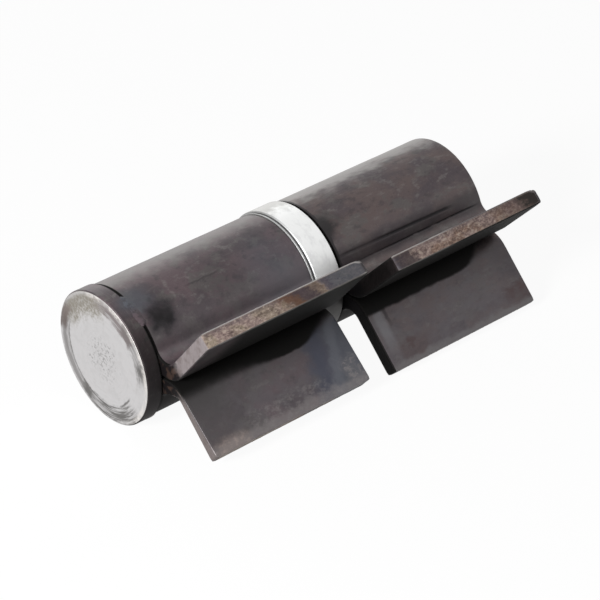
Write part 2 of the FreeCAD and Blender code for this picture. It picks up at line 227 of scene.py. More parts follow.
# %% [markdown]
# ## A plate with real edges
#
# Sheared plate never has the knife edge that a solid model has: its rims are rolled over and its
# corners are knocked round. A bevel modifier could round them, but it can't tell a sheared face
# from a rolled one. So the plate is laid out flat as a grid with rounded corners, closed round its
# rim by loops that turn the edge over, and then bent along the section. While it is still flat,
# each point knows how far it is from the rim, and that is stored for the wear on its finish.

# %% Lay out a flat sheet
CORNER = 0.9
RIM = 0.45
RIM_STEPS = 3
WALL_STEPS = 7


def stations(stops, step):
    """Stations between stops, evenly spaced at about a step."""
    runs = [np.linspace(low, high, max(1, round((high - low) / step)), endpoint=False)
            for low, high in zip(stops, stops[1:])]
    return np.concatenate([*runs, stops[-1:]])


def rounded_plan(walked, across):
    """The points of a flat grid with its corners pulled in onto arcs, and the way out of each.

    At the rim the way out is a unit vector. Well inside the plate it is nothing.
    """
    radius = CORNER - RIM
    low = np.array([walked[0], across[0]]) + radius
    high = np.array([walked[-1], across[-1]]) - radius
    grid = np.stack(np.meshgrid(walked, across, indexing="ij"), axis=-1).reshape(-1, 2)
    centre = np.clip(grid, low, high)
    off = (grid - centre) / radius
    out = off * np.sqrt(1 - off[:, ::-1] ** 2 / 2)
    return centre + radius * out, out


def rim_order(rows, columns):
    """The numbers of a grid's points once round its rim."""
    first = [(row, 0) for row in range(rows)]
    second = [(rows - 1, column) for column in range(1, columns)]
    third = [(row, columns - 1) for row in range(rows - 2, -1, -1)]
    fourth = [(0, column) for column in range(columns - 2, 0, -1)]
    return [row * columns + column for row, column in first + second + third + fourth]


def sheet_faces(rows, columns, loops):
    """The faces of a closed sheet: those of its two skins, and those of each step round its rim.

    Its points are an upper grid, some loops round the rim, and a lower grid.
    """
    rim = rim_order(rows, columns)
    first = rows * columns
    last = first + loops * len(rim)
    skins = []
    for corner in range(first - columns):
        if (corner + 1) % columns:
            quad = (corner, corner + columns, corner + columns + 1, corner + 1)
            skins.append(quad)
            skins.append(tuple(last + spot for spot in reversed(quad)))
    rings = [rim]
    rings.extend(list(range(start, start + len(rim))) for start in range(first, last, len(rim)))
    rings.append([last + spot for spot in rim])
    steps = []
    for ring, below in zip(rings, rings[1:]):
        pairs = list(zip(ring, below))
        after = pairs[1:] + pairs[:1]
        steps.append([(b[0], a[0], a[1], b[1]) for a, b in zip(pairs, after)])
    return skins, steps


print("rim of %.2f mm turned over in %d steps" % (RIM, RIM_STEPS))

# %% [markdown]
# The sheared faces carry most of the plate's character: a shear tears the lower half of the cut,
# so a wing's tip is grainy, while its rolled sides are nearly smooth. That relief is put into the
# mesh itself, as small moves of the points while the plate is still flat. The noise is looked up
# at fixed places, so every run gives the same plate.

# %% Relief and wear of the flat plate
WORN_MIDDLE = 0.5
WORN_TOP = 1.7
WORN_UNDER = 0.8
WORN_REACH = 3.2
RUB_REACH = 1.6
SKEW_REACH = 12.0
LEAN_REACH = 9.0
LEAN_STARTS = -9.0
LEAN_FULL = -2.0
LEAN_LOST = 0.6
LINE_FADE = 6.0
WING_FADE = 3.0
ON_SKIN = 0.99


def noise_at(places, size, seed):
    """Smooth noise from -1 to 1 at each place, with features of about a size in millimetres."""
    shift = Vector((seed * 7.1, seed * 3.7, seed * 1.9))
    return np.array([noise.noise(Vector(place) / size + shift) for place in places])


class PressLine:
    """A dent where the edge of a press tool met the plate, along the barrel or at a slant."""

    def __init__(self, angle, slant, width, depth, start, end):
        self.first = roll_distance(angle)
        self.slant = slant
        self.width = width
        self.depth = depth
        self.start = start
        self.end = end

    def dent(self, along, across):
        """How deep the line is at each point of the flat plate."""
        off = (along - self.first - self.slant * across) / self.width
        started = np.clip((across - self.start) / LINE_FADE, 0, 1)
        not_over = np.clip((self.end - across) / LINE_FADE, 0, 1)
        return self.depth * np.exp(-off ** 2) * started * not_over


def from_rims(points, width):
    """Distances in from the four rims: upper tip, lower tip, near end and far end."""
    along, across, _ = points.T
    return np.stack([along, STRIP - along, across, width - across])


def rim_wear(points, width, rims):
    """How rubbed each point is: up to 1 at a rim, fading out inwards, and none on the roll."""
    away = from_rims(points, width)
    upper = np.clip((LONG_WING - away[0]) / WING_FADE, 0, 1)
    lower = np.clip((away[0] - LOWER_FLAT) / WING_FADE, 0, 1)
    shares = [rims[0], rims[1], rims[2] * (upper + lower), rims[3] * (upper + lower)]
    close = [share * np.clip(1 - near / RUB_REACH, 0, 1) for share, near in zip(shares, away)]
    return np.maximum.reduce(close)


def wear_round(points, width):
    """Round the upper wing's far corner through its thickness, as dropping the hinge does."""
    along, across, depth = points.T
    beyond_a = CORNER - along
    beyond_b = across - (width - CORNER)
    in_corner = (beyond_a > 0) & (beyond_b > 0)
    edge = np.where(in_corner, CORNER - np.hypot(beyond_a, beyond_b),
                    np.minimum(along, width - across))
    away = np.hypot(along - WORN_MIDDLE, across - width)
    near = np.clip(1 - (away - CORNER) / WORN_REACH, 0, 1)
    worn = np.where(depth > 0, WORN_TOP, WORN_UNDER)
    radius = RIM + (worn - RIM) * near ** 2 * (3 - 2 * near)
    inside = np.clip(edge, 0, radius)
    drop = radius - np.sqrt(radius ** 2 - (radius - inside) ** 2)
    rounded = np.sign(depth) * np.minimum(np.abs(depth), PLATE / 2 - drop)
    return np.column_stack([along, across, rounded])


def relief(points, outwards, wall, width, press_lines, seed):
    """Move the points a little: waves on the skins, dents, and grain on the sheared walls."""
    moved = points.copy()
    skin = points[:, 2] * 2 / PLATE
    wave = noise_at(points, 17.0, seed) * 0.07 + noise_at(points, 6.0, seed + 1) * 0.02
    calm = np.clip(from_rims(points, width).min(axis=0) / 2.0, 0, 1)
    moved[:, 2] += wave * calm * (np.abs(skin) > ON_SKIN)
    for line in press_lines:
        reach = 0.8 + 0.5 * noise_at(points * [0, 1, 0], 9.0, seed + 2)
        moved[:, 2] -= line.dent(points[:, 0], points[:, 1]) * reach * (skin > ON_SKIN)
    grain = noise_at(points, 1.6, seed + 3) * 0.10 + noise_at(points, 4.5, seed + 4) * 0.08
    rough = np.where(np.abs(outwards[:, 0]) > 0.7, 1.0, 0.35) * (0.35 + 0.65 * wall)
    moved[:, :2] += outwards * (grain * rough)[:, None]
    return moved


def out_of_square(points, width, skew, lean):
    """How far each point shifts along the barrel, since no saw or shear cuts quite square.

    skew is how far the upper tip runs out at the far end. lean is how far the lower wing's near
    end falls back through the thickness of the plate.
    """
    along, across, _ = points.T
    far = np.clip((across - width + SKEW_REACH) / SKEW_REACH, 0, 1)
    shift = skew * far * np.clip(1 - along / LONG_WING, 0, 1)
    across = across + shift
    out = along - LOWER_FLAT
    share = np.clip((out - LEAN_STARTS) / (LEAN_FULL - LEAN_STARTS), 0, 1)
    share = share * (1 - LEAN_LOST * np.clip(out / SHORT_WING, 0, 1))
    share = share * np.clip(0.5 + points[:, 2] / PLATE, 0, 1)
    return shift + lean * share * np.clip(1 - across / LEAN_REACH, 0, 1)


print("the worn corner is rounded by up to %.1f mm" % WORN_TOP)

# %% [markdown]
# Now the plate itself. The two skins are grids, and the loops between them go round the rim: a
# few turn the outer edge over, the next make the sheared wall, and the last turn the inner edge.
# Face by face, the plate keeps note of whether it belongs to a skin, a tip or a cut end.

# %% Build one plate
SKIN, TIP, NEAR_CUT, FAR_CUT = 0, 1, 2, 3


def put_in_scene(name, data):
    """A new object of the scene."""
    made = bpy.data.objects.new(name, data)
    bpy.context.scene.collection.objects.link(made)
    return made


def new_piece(name, points, faces, finishes, kinds):
    """A smooth-shaded object from points in millimetres, faces, and the finish of each face."""
    mesh = bpy.data.meshes.new(name)
    mesh.from_pydata([tuple(point) for point in np.asarray(points) * MM], [], faces)
    for finish in finishes:
        mesh.materials.append(finish)
    mesh.polygons.foreach_set("material_index", kinds)
    mesh.polygons.foreach_set("use_smooth", [True] * len(mesh.polygons))
    mesh.update()
    return put_in_scene(name, mesh)


def dressed(piece, node, body):
    """Let a piece stand for a solid node and ride on its body."""
    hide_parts(node)
    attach(piece, body)
    print(piece.name, "stands for", node, "-", len(piece.data.polygons), "faces")


def plate_grid(width, press_lines):
    """Stations along the strip and across it, closer together at the press lines and the rim."""
    stops = {RIM, 3 * RIM, STRIP - 3 * RIM, STRIP - RIM}
    stops.update(start for start in STARTS.values() if start > 0)
    walked = stations(sorted(stops), 1.0)
    if press_lines:
        low = STARTS["roll"] - 3
        closer = stations([low, low + 11], 0.3)
        walked = np.sort(np.concatenate([walked, closer]))
        walked = walked[np.concatenate([[True], np.diff(walked) > 0.05])]
    across = stations([RIM, 3 * RIM, width - 3 * RIM, width - RIM], 0.9)
    return walked, across


def plate_loops():
    """The loops round the rim: how far out and how deep each lies, and its share of wall."""
    turns = [math.pi / 2 * step / RIM_STEPS for step in range(1, RIM_STEPS + 1)]
    over = [(RIM * math.sin(turn), PLATE / 2 - RIM * (1 - math.cos(turn)), 0.0) for turn in turns]
    depths = [(PLATE / 2 - RIM) * (1 - 2 * step / WALL_STEPS) for step in range(1, WALL_STEPS)]
    wall = [(RIM, depth, 1.0) for depth in depths]
    under = [(offset, -depth, share) for offset, depth, share in reversed(over)]
    return over + wall + under


def make_plate(name, span, angle, press_lines, finishes, rims, skew, lean, seed):
    """One yoke: a rounded plate, bent along the section and turned about the barrel's axis.

    rims says how much each rim is rubbed: upper tip, lower tip, near end and far end.
    """
    width = span[1] - span[0]
    walked, across = plate_grid(width, press_lines)
    rows, columns = len(walked), len(across)
    flat, ways_out = rounded_plan(walked, across)
    order = rim_order(rows, columns)
    rim, rim_out = flat[order], ways_out[order]
    still = np.zeros_like(flat)
    loops = plate_loops()
    layers = [(flat, still, PLATE / 2, 0.0)]
    layers.extend((rim + rim_out * offset, rim_out, depth, share) for offset, depth, share in loops)
    layers.append((flat, still, -PLATE / 2, 0.0))
    points = np.concatenate([np.insert(places, 2, depth, axis=1) for places, _, depth, _ in layers])
    outwards = np.concatenate([out for _, out, _, _ in layers])
    wall = np.concatenate([np.full(len(places), share) for places, _, _, share in layers])

    faces, steps = sheet_faces(rows, columns, len(loops))
    kinds = [SKIN] * len(faces)
    ends = [TIP if abs(a) > 0.9 else NEAR_CUT if b < 0 else FAR_CUT for a, b in rim_out]
    for level, step in enumerate(steps):
        faces.extend(step)
        on_wall = RIM_STEPS <= level < len(steps) - RIM_STEPS
        kinds.extend(ends if on_wall else [SKIN] * len(step))

    points = wear_round(points, width)
    wear = rim_wear(points, width, rims)
    points = relief(points, outwards, wall, width, press_lines, seed)
    points[:, 1] += out_of_square(points, width, skew, lean)
    middle, outer = section(points[:, 0])
    y, z = place_section(middle + points[:, 2:3] * outer, angle)
    placed = np.column_stack([span[0] + points[:, 1], y, z])
    piece = new_piece(name, placed, faces, finishes, kinds)
    for value, numbers in zip(("wear", "along", "across", "depth"), (wear, *points.T)):
        stored = piece.data.attributes.new(value, "FLOAT", "POINT")
        stored.data.foreach_set("value", numbers.astype(np.float32))
    return piece


print("loops round a plate's rim:", len(plate_loops()))

# %% [markdown]
# ## Turned pieces
#
# The head, its collar, the ring weld, the washer and the cover are all bodies of revolution, made
# on a lathe. They are made the same way here: a short profile is spun round the barrel's axis.
# Sharp corners of the profile are given a small round first, because it is that round that
# catches the light as a thin bright line.

# %% Spin a profile
TURNS = 192
ROUND_STEPS = 3
SHARP_CORNER = math.radians(40)
GROUND_DEPTH = 0.35


def on_axis(point):
    """Whether a point of a profile lies on the barrel's axis."""
    return point[1] < 1e-6


def round_corners(profile, radius):
    """Replace each corner of a closed profile of (along, radius) points by a small round.

    A point just beside each round keeps the flat next to it flat in its shading.
    """
    made = []
    for index, corner in enumerate(profile):
        here = np.array(corner, float)
        if on_axis(here):
            made.append(tuple(here))
            continue
        to_before = np.array(profile[index - 1], float) - here
        to_after = np.array(profile[(index + 1) % len(profile)], float) - here
        long_before = np.linalg.norm(to_before)
        long_after = np.linalg.norm(to_after)
        cut = min(radius, long_before / 2.6, long_after / 2.6)
        start = here + to_before / long_before * cut
        end = here + to_after / long_after * cut
        made.append(tuple(start + to_before / long_before * cut * 0.25))
        for step in range(ROUND_STEPS + 1):
            t = step / ROUND_STEPS
            made.append(tuple((1 - t) ** 2 * start + 2 * t * (1 - t) * here + t * t * end))
        made.append(tuple(end + to_after / long_after * cut * 0.25))
    return made


def split_long(profile, longest):
    """Add points along a closed profile, so that no run is longer than a length."""
    made = []
    for start, end in zip(profile, profile[1:] + profile[:1]):
        start, end = np.array(start), np.array(end)
        steps = max(1, math.ceil(np.linalg.norm(end - start) / longest))
        made.extend(tuple(start + (end - start) * step / steps) for step in range(steps))
    return made


def join_points(piece):
    """Join the points that lie on each other, and turn every face outwards."""
    tidy = bmesh.new()
    tidy.from_mesh(piece.data)
    bmesh.ops.remove_doubles(tidy, verts=tidy.verts, dist=1e-6)
    bmesh.ops.recalc_face_normals(tidy, faces=tidy.faces)
    tidy.to_mesh(piece.data)
    tidy.free()


def spin(name, profile, finishes):
    """Spin a closed profile round the barrel's axis. A second finish is for all but the face."""
    turn = np.tile(np.arange(TURNS) * 2 * math.pi / TURNS, len(profile))
    along = np.repeat([point[0] for point in profile], TURNS).astype(float)
    radius = np.repeat([point[1] for point in profile], TURNS).astype(float)
    points = np.column_stack([along, -radius * np.cos(turn), radius * np.sin(turn)])
    faces = []
    kinds = []
    for index, point in enumerate(profile):
        other = (index + 1) % len(profile)
        if on_axis(point) and on_axis(profile[other]):
            continue
        ground = max(point[0], profile[other][0]) < GROUND_DEPTH
        for start in range(TURNS):
            after = (start + 1) % TURNS
            here, there = index * TURNS, other * TURNS
            faces.append((here + start, there + start, there + after, here + after))
        kinds.extend([0 if ground or len(finishes) == 1 else 1] * TURNS)
    piece = new_piece(name, points, faces, finishes, kinds)
    join_points(piece)
    piece.data.set_sharp_from_angle(angle=SHARP_CORNER)
    return piece


def turn_piece(name, profile, rounding, longest, finishes, node, body):
    """Round, divide and spin a profile, and let the piece stand for its node."""
    if rounding:
        profile = round_corners(profile, rounding)
    dressed(spin(name, split_long(profile, longest), finishes), node, body)


print("turned pieces get %d turns" % TURNS)

# %% [markdown]
# ## Wires with arithmetic
#
# A finish is a small sum: this grey, plus that brown where a noise is high, less the scale that is
# rubbed off at an edge. Node trees hide such sums, so the class below wraps a node's output and
# lets Python's own operators add the nodes. Numbers stay with Math nodes, while vectors go through
# Vector Math and colours through Mix, because a Math node would turn a colour grey.

# %% A wire
def operator(operation, swapped=False):
    """A method that adds the node for an operation. swapped is for a wire that stands second."""
    def method(self, other):
        first, second = (other, self) if swapped else (self, other)
        kinds = [value.socket.type for value in (first, second) if isinstance(value, Wire)]
        if "RGBA" in kinds:
            settings = {"data_type": "RGBA", "blend_type": operation}
            return self.nodes.node("Mix", settings, {0: 1.0, 6: first, 7: second}, 2)
        kind = "VectorMath" if "VECTOR" in kinds else "Math"
        return self.nodes.node(kind, {"operation": operation}, {0: first, 1: second})
    return method


class Wire:
    """The output of a node, on which sums can be written."""

    def __init__(self, nodes, socket):
        self.nodes = nodes
        self.socket = socket

    def __getitem__(self, axis):
        return self.nodes.node("SeparateXYZ", {}, {0: self}, axis)

    __add__ = operator("ADD")
    __radd__ = operator("ADD", swapped=True)
    __sub__ = operator("SUBTRACT")
    __rsub__ = operator("SUBTRACT", swapped=True)
    __mul__ = operator("MULTIPLY")
    __rmul__ = operator("MULTIPLY", swapped=True)
    __truediv__ = operator("DIVIDE")
    __rtruediv__ = operator("DIVIDE", swapped=True)


class Nodes:
    """A node tree, and the one method that adds nodes to it."""

    def __init__(self, tree):
        self.tree = tree
        tree.nodes.clear()

    def node(self, kind, settings, sockets, output=0):
        """Add one node: settings first, then a value or a wire for each socket."""
        made = self.tree.nodes.new("ShaderNode" + kind)
        for name, value in settings.items():
            setattr(made, name, value)
        for name, value in sockets.items():
            socket = made.inputs[name]
            if isinstance(value, Wire):
                self.tree.links.new(value.socket, socket)
            elif socket.type == "RGBA" and len(value) == 3:
                socket.default_value = (*value, 1.0)
            else:
                socket.default_value = value
        return Wire(self, made.outputs[output]) if len(made.outputs) else None


print("a wire can be added, subtracted, multiplied and divided")

# %% [markdown]
# Every node comes from that one method. A finish adds a short kit for steel to it: places in
# millimetres, noises by the size of their features, soft masks, tints that go over the colour so
# far, and bumps by their height in millimetres. The refraction given with a finish only sets how
# strongly it shines.

# %% A finish and its kit
class Finish(Nodes):
    """A material, and the colour that is built up on it tint by tint."""

    def __init__(self, name, refraction=1.5):
        self.material = bpy.data.materials.new(name)
        self.material.use_nodes = True
        super().__init__(self.material.node_tree)
        self.refraction = refraction
        self.here = self.node("TexCoord", {}, {}, "Object") * (1 / MM, 1 / MM, 1 / MM)
        self.colour = None

    def noise(self, size, stretch=(1, 1, 1), detail=4.0, rough=0.55, seed=0.0):
        """A noise from 0 to 1 with features of a size in millimetres, stretched along the axes."""
        scaled = self.here * tuple(1 / (size * part) for part in stretch)
        place = scaled + (seed * 3.1, seed * 1.7, seed * 2.3)
        sockets = {"Vector": place, "Scale": 1.0, "Detail": detail, "Roughness": rough}
        return self.node("TexNoise", {"noise_dimensions": "3D"}, sockets)

    def mask(self, value, low, high):
        """0 below low and 1 above high, smooth between. Low may be the greater of the two."""
        sockets = {"Value": value, "From Min": min(low, high), "From Max": max(low, high)}
        if low > high:
            sockets.update({"To Min": 1.0, "To Max": 0.0})
        return self.node("MapRange", {"interpolation_type": "SMOOTHSTEP"}, sockets)

    def near(self, value, centre, reach, fade):
        """1 within reach of a centre, and 0 past the fade beyond it."""
        away = self.node("Math", {"operation": "ABSOLUTE"}, {0: value - centre})
        return self.mask(away, reach + fade, reach)

    def full(self, value):
        """A sum of masks, kept from 0 to 1."""
        return self.mask(value, 0.0, 1.0)

    def stain(self, centre, size, seed, ragged=0.9):
        """1 at a place, fading out at a ragged edge about a size in millimetres away from it."""
        ends = {0: self.here, 1: centre}
        away = self.node("VectorMath", {"operation": "DISTANCE"}, ends, "Value")
        torn = self.noise(size * 0.7, seed=seed)
        return self.mask(away / size + (torn - 0.5) * ragged, 1.25, 0.10)

    def mix(self, share, first, second):
        """The first where the share is 0, the second where it is 1."""
        pair = (first, second)
        wires = [value.socket.type for value in pair if isinstance(value, Wire)]
        if "RGBA" in wires or any(isinstance(value, tuple) for value in pair):
            return self.node("Mix", {"data_type": "RGBA"}, {0: share, 6: first, 7: second}, 2)
        return self.node("Mix", {"data_type": "FLOAT"}, {0: share, 2: first, 3: second}, 0)

    def tint(self, share, colour):
        """Lay a share of another colour over the colour so far."""
        self.colour = self.mix(share, self.colour, colour)

    def value(self, name):
        """A number stored on the mesh."""
        return self.node("Attribute", {"attribute_name": name}, {}, "Fac")

    def from_axis(self):
        """The distance from the barrel's axis, in millimetres."""
        flat = self.here * (0, 1, 1)
        return self.node("VectorMath", {"operation": "LENGTH"}, {0: flat}, "Value")

    def around(self):
        """The angle round the barrel in degrees: 0 towards the wings, 90 at the top.

        It jumps from 180 to -180 at the back, so what is masked by it has to fade out before.
        """
        settings = {"operation": "ARCTAN2"}
        turn = self.node("Math", settings, {0: self.here[2], 1: self.here[1] * -1})
        return turn * (180 / math.pi)

    def surface(self, roughness, metallic, height):
        """Finish the material: one shader, with a bump from a height in millimetres."""
        bump = self.node("Bump", {}, {"Strength": 1.0, "Distance": MM, "Height": height})
        shader = self.node("BsdfPrincipled", {}, {
            "Base Color": self.colour, "Roughness": roughness, "Metallic": metallic,
            "IOR": self.refraction, "Normal": bump,
        })
        self.node("OutputMaterial", {}, {"Surface": shader})
        print("finish", self.material.name, "has", len(self.tree.nodes), "nodes")
        return self.material


# %% [markdown]
# ## Mill scale
#
# Hot-rolled plate comes off the mill under a thin skin of oxide, blue-grey where it is tight and
# purple-brown where it is thin. Pressing the plate cracks and rubs it, so it is full of long
# scuffs along the barrel, and at rims it is gone. One picture of scale would repeat, so the skin is
# a sum of noises of different sizes. Painted shade lies over it where the light hardly reaches, and
# real soot where it was burnt: it is the same shader, turned rough and nearly black.

# %% The scale, its soot and painted shade
SCALE_DARK = (0.036, 0.031, 0.034)
SCALE_DULL = (0.066, 0.052, 0.058)
SCALE_PURPLE = (0.098, 0.070, 0.077)
SCALE_BROWN = (0.100, 0.074, 0.072)
SCALE_ASH = (0.092, 0.083, 0.081)
SCALE_BLUE = (0.074, 0.080, 0.096)
SCALE_GREY = (0.220, 0.208, 0.198)
WING_GREY = (0.098, 0.088, 0.096)
BARE_STEEL = (0.480, 0.460, 0.440)
TAN_SCUFF = (0.330, 0.262, 0.235)
PALE_SCUFF = (0.235, 0.215, 0.212)
BURN = (0.008, 0.007, 0.008)
# The near black below is used both for real soot and for painted shade.
SOOT_AND_SHADE = (0.0155, 0.015, 0.0145)
SOOT_AND_SHADE_ROUGH = 0.8
BARE_ROUGH = 0.36
OXIDE = 0.5


class Scale(Finish):
    """Mill scale on what turns with one half: start is where it begins, turn its half's angle."""

    def __init__(self, name, start, turn, brown, streak, seed):
        super().__init__(name)
        self.start = start
        self.turn = turn
        along_barrel = (streak, 1, 1)
        clouds = self.noise(14, along_barrel, detail=5.0, rough=0.6, seed=seed)
        tinge = self.noise(8.0, along_barrel, detail=5.0, rough=0.65, seed=seed + 5)
        patches = self.noise(3.6, along_barrel, detail=6.0, rough=0.62, seed=seed + 1)
        scuffs = self.noise(1.3, (5, 1, 1), detail=3.0, seed=seed + 2)
        grit = self.noise(0.7, detail=3.0, rough=0.7, seed=seed + 3)
        self.colour = self.mix(self.mask(clouds, 0.40, 0.58), SCALE_DULL, brown)
        for source, low, high, share, colour in (
            (tinge, 0.50, 0.60, 0.80, SCALE_ASH),
            (patches, 0.54, 0.70, 0.35, SCALE_GREY),
            (scuffs, 0.58, 0.80, 0.14, SCALE_GREY),
            (patches, 0.47, 0.32, 0.60, SCALE_DARK),
            (grit, 0.56, 0.74, 0.18, SCALE_GREY),
            (grit, 0.42, 0.28, 0.28, BURN),
        ):
            self.tint(self.mask(source, low, high) * share, colour)
        self.roughness = 0.30 + 0.16 * patches + 0.12 * grit
        self.metallic = OXIDE
        self.height = 0.045 * patches + 0.010 * scuffs + 0.012 * grit

    def scorch(self, across, angle, size, seed, ragged=1.2):
        """A stain on the barrel's outside, an angle in degrees up from the half's mouth."""
        full = self.turn + math.radians(angle)
        centre = (self.start + across, -BARREL * math.cos(full), BARREL * math.sin(full))
        return self.stain(centre, size, seed, ragged)

    def soot_and_shade(self, share):
        """Cover a share with matt black: real soot at burns and cracks, painted shade elsewhere."""
        self.tint(share, SOOT_AND_SHADE)
        self.roughness = self.mix(share, self.roughness, SOOT_AND_SHADE_ROUGH)
        self.metallic = self.mix(share, self.metallic, 1.0)

    def rub_rim(self, seed, share=1.0):
        """Show bare steel where a rim's scale is rubbed off, less so inside the mouth."""
        broken = self.noise(1.8, (3, 1, 1), detail=3.0, seed=seed)
        rubbed = self.mask(self.value("wear") + (broken - 0.5) * 0.45, 0.74, 0.94)
        rubbed = rubbed * (1 - self.mask(self.value("depth"), -2.2, -2.7) * 0.7) * share
        self.tint(rubbed * 0.60, BARE_STEEL)
        self.roughness = self.mix(rubbed, self.roughness, BARE_ROUGH)

    def painted_light_low_side(self, stray, reach, fade):
        """1 on the barrel's lower side towards the wings, in degrees from the mouth, for painted
        light.
        """
        angle = self.around() - math.degrees(self.turn) + stray * 20
        on_roll = self.mask(self.from_axis(), BARREL + 2.5, BARREL + 0.5)
        return self.near(angle, -40.0, reach, fade) * on_roll

    def shade_in_mouth(self, deep, far, back, near):
        """1 where painted shade lies inside the mouth between the wings, as far out on the lower
        wing as deep millimetres.

        Over the stretch far, towards the open far end, the painted shade draws back by a length.
        Its edge is firm, except at less than near millimetres from the near end.
        """
        across = self.value("across")
        ragged = self.noise(6.0, detail=3.0, seed=52.0)
        open_end = self.mask(across, *far)
        hazy = self.mask(across, near + 14, near - 10)
        edge = self.value("along") - LOWER_FLAT + (ragged - 0.5) * 1.6
        edge = edge + open_end * back + hazy * 2.0
        fade = hazy * 3.6 + open_end * 2.6 + 0.9
        inside = self.mask(self.value("depth"), -2.3, -2.8)
        return self.mask((deep - edge) / fade, -1.0, 1.0) * inside

    def shade_under_barrel(self, stray, reach):
        """1 under the barrel, for painted shade, out to a reach in millimetres from its near end.
        """
        low = self.near(self.around() + stray * 10, -58.0, 44.0, 12.0)
        close = self.mask(self.value("across") + stray * 8, reach, reach * 0.45)
        return low * close * self.mask(self.from_axis(), BARREL + 3.0, BARREL + 1.0) * 0.85


print("soot is laid with a roughness of", SOOT_AND_SHADE_ROUGH)

# %% [markdown]
# The two halves are one pressing, but they lived differently. Beside the stitch welds the gate
# half's scale is blued and burnt, and the outer band of its lower wing is scuffed pale. The post
# half is browner, with two black press lines near the foot of its roll. The masks below are named
# after what they show, and each is laid over the ones before it.

# %% The skins of both plates
def gate_skin():
    """The gate half's scale: greyer at the top by a painted reflection, blued and burnt beside the
    stitch weld, with painted light low on the barrel and painted shade in the mouth and under it.
    """
    made = Scale("gate_scale", GATE_SPAN[0], GATE_ANGLE, SCALE_PURPLE, 1.2, 2.0)
    mask, near, tint = made.mask, made.near, made.tint
    across = made.value("across")
    along = made.value("along")
    out = along - LOWER_FLAT
    mottle = made.noise(5.0, detail=5.0, rough=0.6, seed=8.0)
    stray = mottle - 0.5
    flecks = mask(made.noise(1.4, (1.3, 1, 1), detail=5.0, rough=0.65, seed=17.0), 0.44, 0.66)
    # Painted reflection: the barrel's upper edge is greyed as if it mirrored the white
    # surroundings.
    tint(near(made.around() + stray * 40, 122.0, 12.0, 28.0) * 0.52, SCALE_GREY)
    blued = made.scorch(3.0, 66, 9.0, 14.0, 0.9) + made.scorch(59, 32, 22.0, 15.0, 0.9) * 0.8
    tint(made.full(blued) * 0.65, SCALE_BLUE)
    # Painted light: the barrel's lower front is made lighter, as if more light reached it.
    tint(made.painted_light_low_side(stray, 66.0, 26.0) * 0.35, (0.170, 0.148, 0.158))
    burnt = made.scorch(8.5, 49, 8.5, 16.0) + made.scorch(5.0, 38, 7.0, 19.0) * 0.35
    tint(mask(burnt, 0.05, 1.0) * 0.9, (0.012, 0.010, 0.013))
    scratch = near(along + stray * 1.2, roll_distance(60), 0.05, 0.5) * near(across, 30.0, 5.0, 4.0)
    tint(scratch * 0.40, BURN)
    tint(made.scorch(36.0, 50, 13.0, 23.0) * 0.35, SCALE_DARK)

    wing = mask(out, -4.0, 0.0)
    tint(wing * (0.32 + 0.32 * mask(mottle, 0.40, 0.60)), WING_GREY)
    # Darker at the near end, plus painted shade near the valley, where the upper wing keeps light
    # off.
    dusky_and_valley_shade = mask(across + stray * 22, 26.0, 6.0) * 0.60 + mask(out, 13.0, 2.0) * 0.35
    tint(dusky_and_valley_shade * wing, (0.060, 0.055, 0.056))
    blot = near(across + stray * 9 + out * 0.25, 58.0, 1.0, 8.0)
    tint(blot * wing * 0.70, (0.040, 0.048, 0.074))
    hazy = mask(across + stray * 12 + out * 0.3, 60.0, 66.0)
    tint(hazy * wing * 0.60, (0.064, 0.076, 0.098))
    streak = near(across + out * 0.42 + stray * 5, 66.0, 0.5, 3.0)
    tint(streak * wing * 0.36, (0.140, 0.145, 0.165))
    specked = near(out + stray * 5, 17.5, 1.5, 2.5) * near(across, 36.0, 13.0, 10.0)
    tint(specked * flecks * 0.30, PALE_SCUFF)
    tint(mask(out + stray * 5, 18.5, 21.5) * (0.44 + 0.14 * flecks), PALE_SCUFF)
    pale = near(across + stray * 10, 8.0, 3.0, 7.0) * mask(out + stray * 4, 17.0, 20.5)
    tint(pale * (0.30 + 0.30 * flecks), TAN_SCUFF)
    chafe = near(across + stray * 8, 65.5, 1.5, 4.0) * near(out + stray * 8, 17.0, 2.0, 5.0)
    tint(chafe * (0.15 + 0.50 * flecks), PALE_SCUFF)

    # Painted shade in the mouth and under the barrel. lit thins it near the near end, where more
    # light reaches. The crack and the burns get real soot.
    crack = mask(across, 1.1, 0.7) * mask(out, 0.0, -6.0) * mask(along, 26, 32)
    soot_and_shade = made.full(made.shade_in_mouth(2.3, (50.0, 68.0), 5.0, 32.0) + crack)
    lit = mask(across + stray * 8, 22.0, 6.0) * mask(along, LONG_WING + 4, LONG_WING - 4)
    soot_and_shade = soot_and_shade * (1 - 0.50 * lit) + made.shade_under_barrel(stray, 26.0)
    made.soot_and_shade(made.full(soot_and_shade + mask(burnt, 0.5, 1.2) * 0.6))
    made.rub_rim(3.0)
    return made.surface(made.roughness, made.metallic, made.height - 0.08 * scratch)


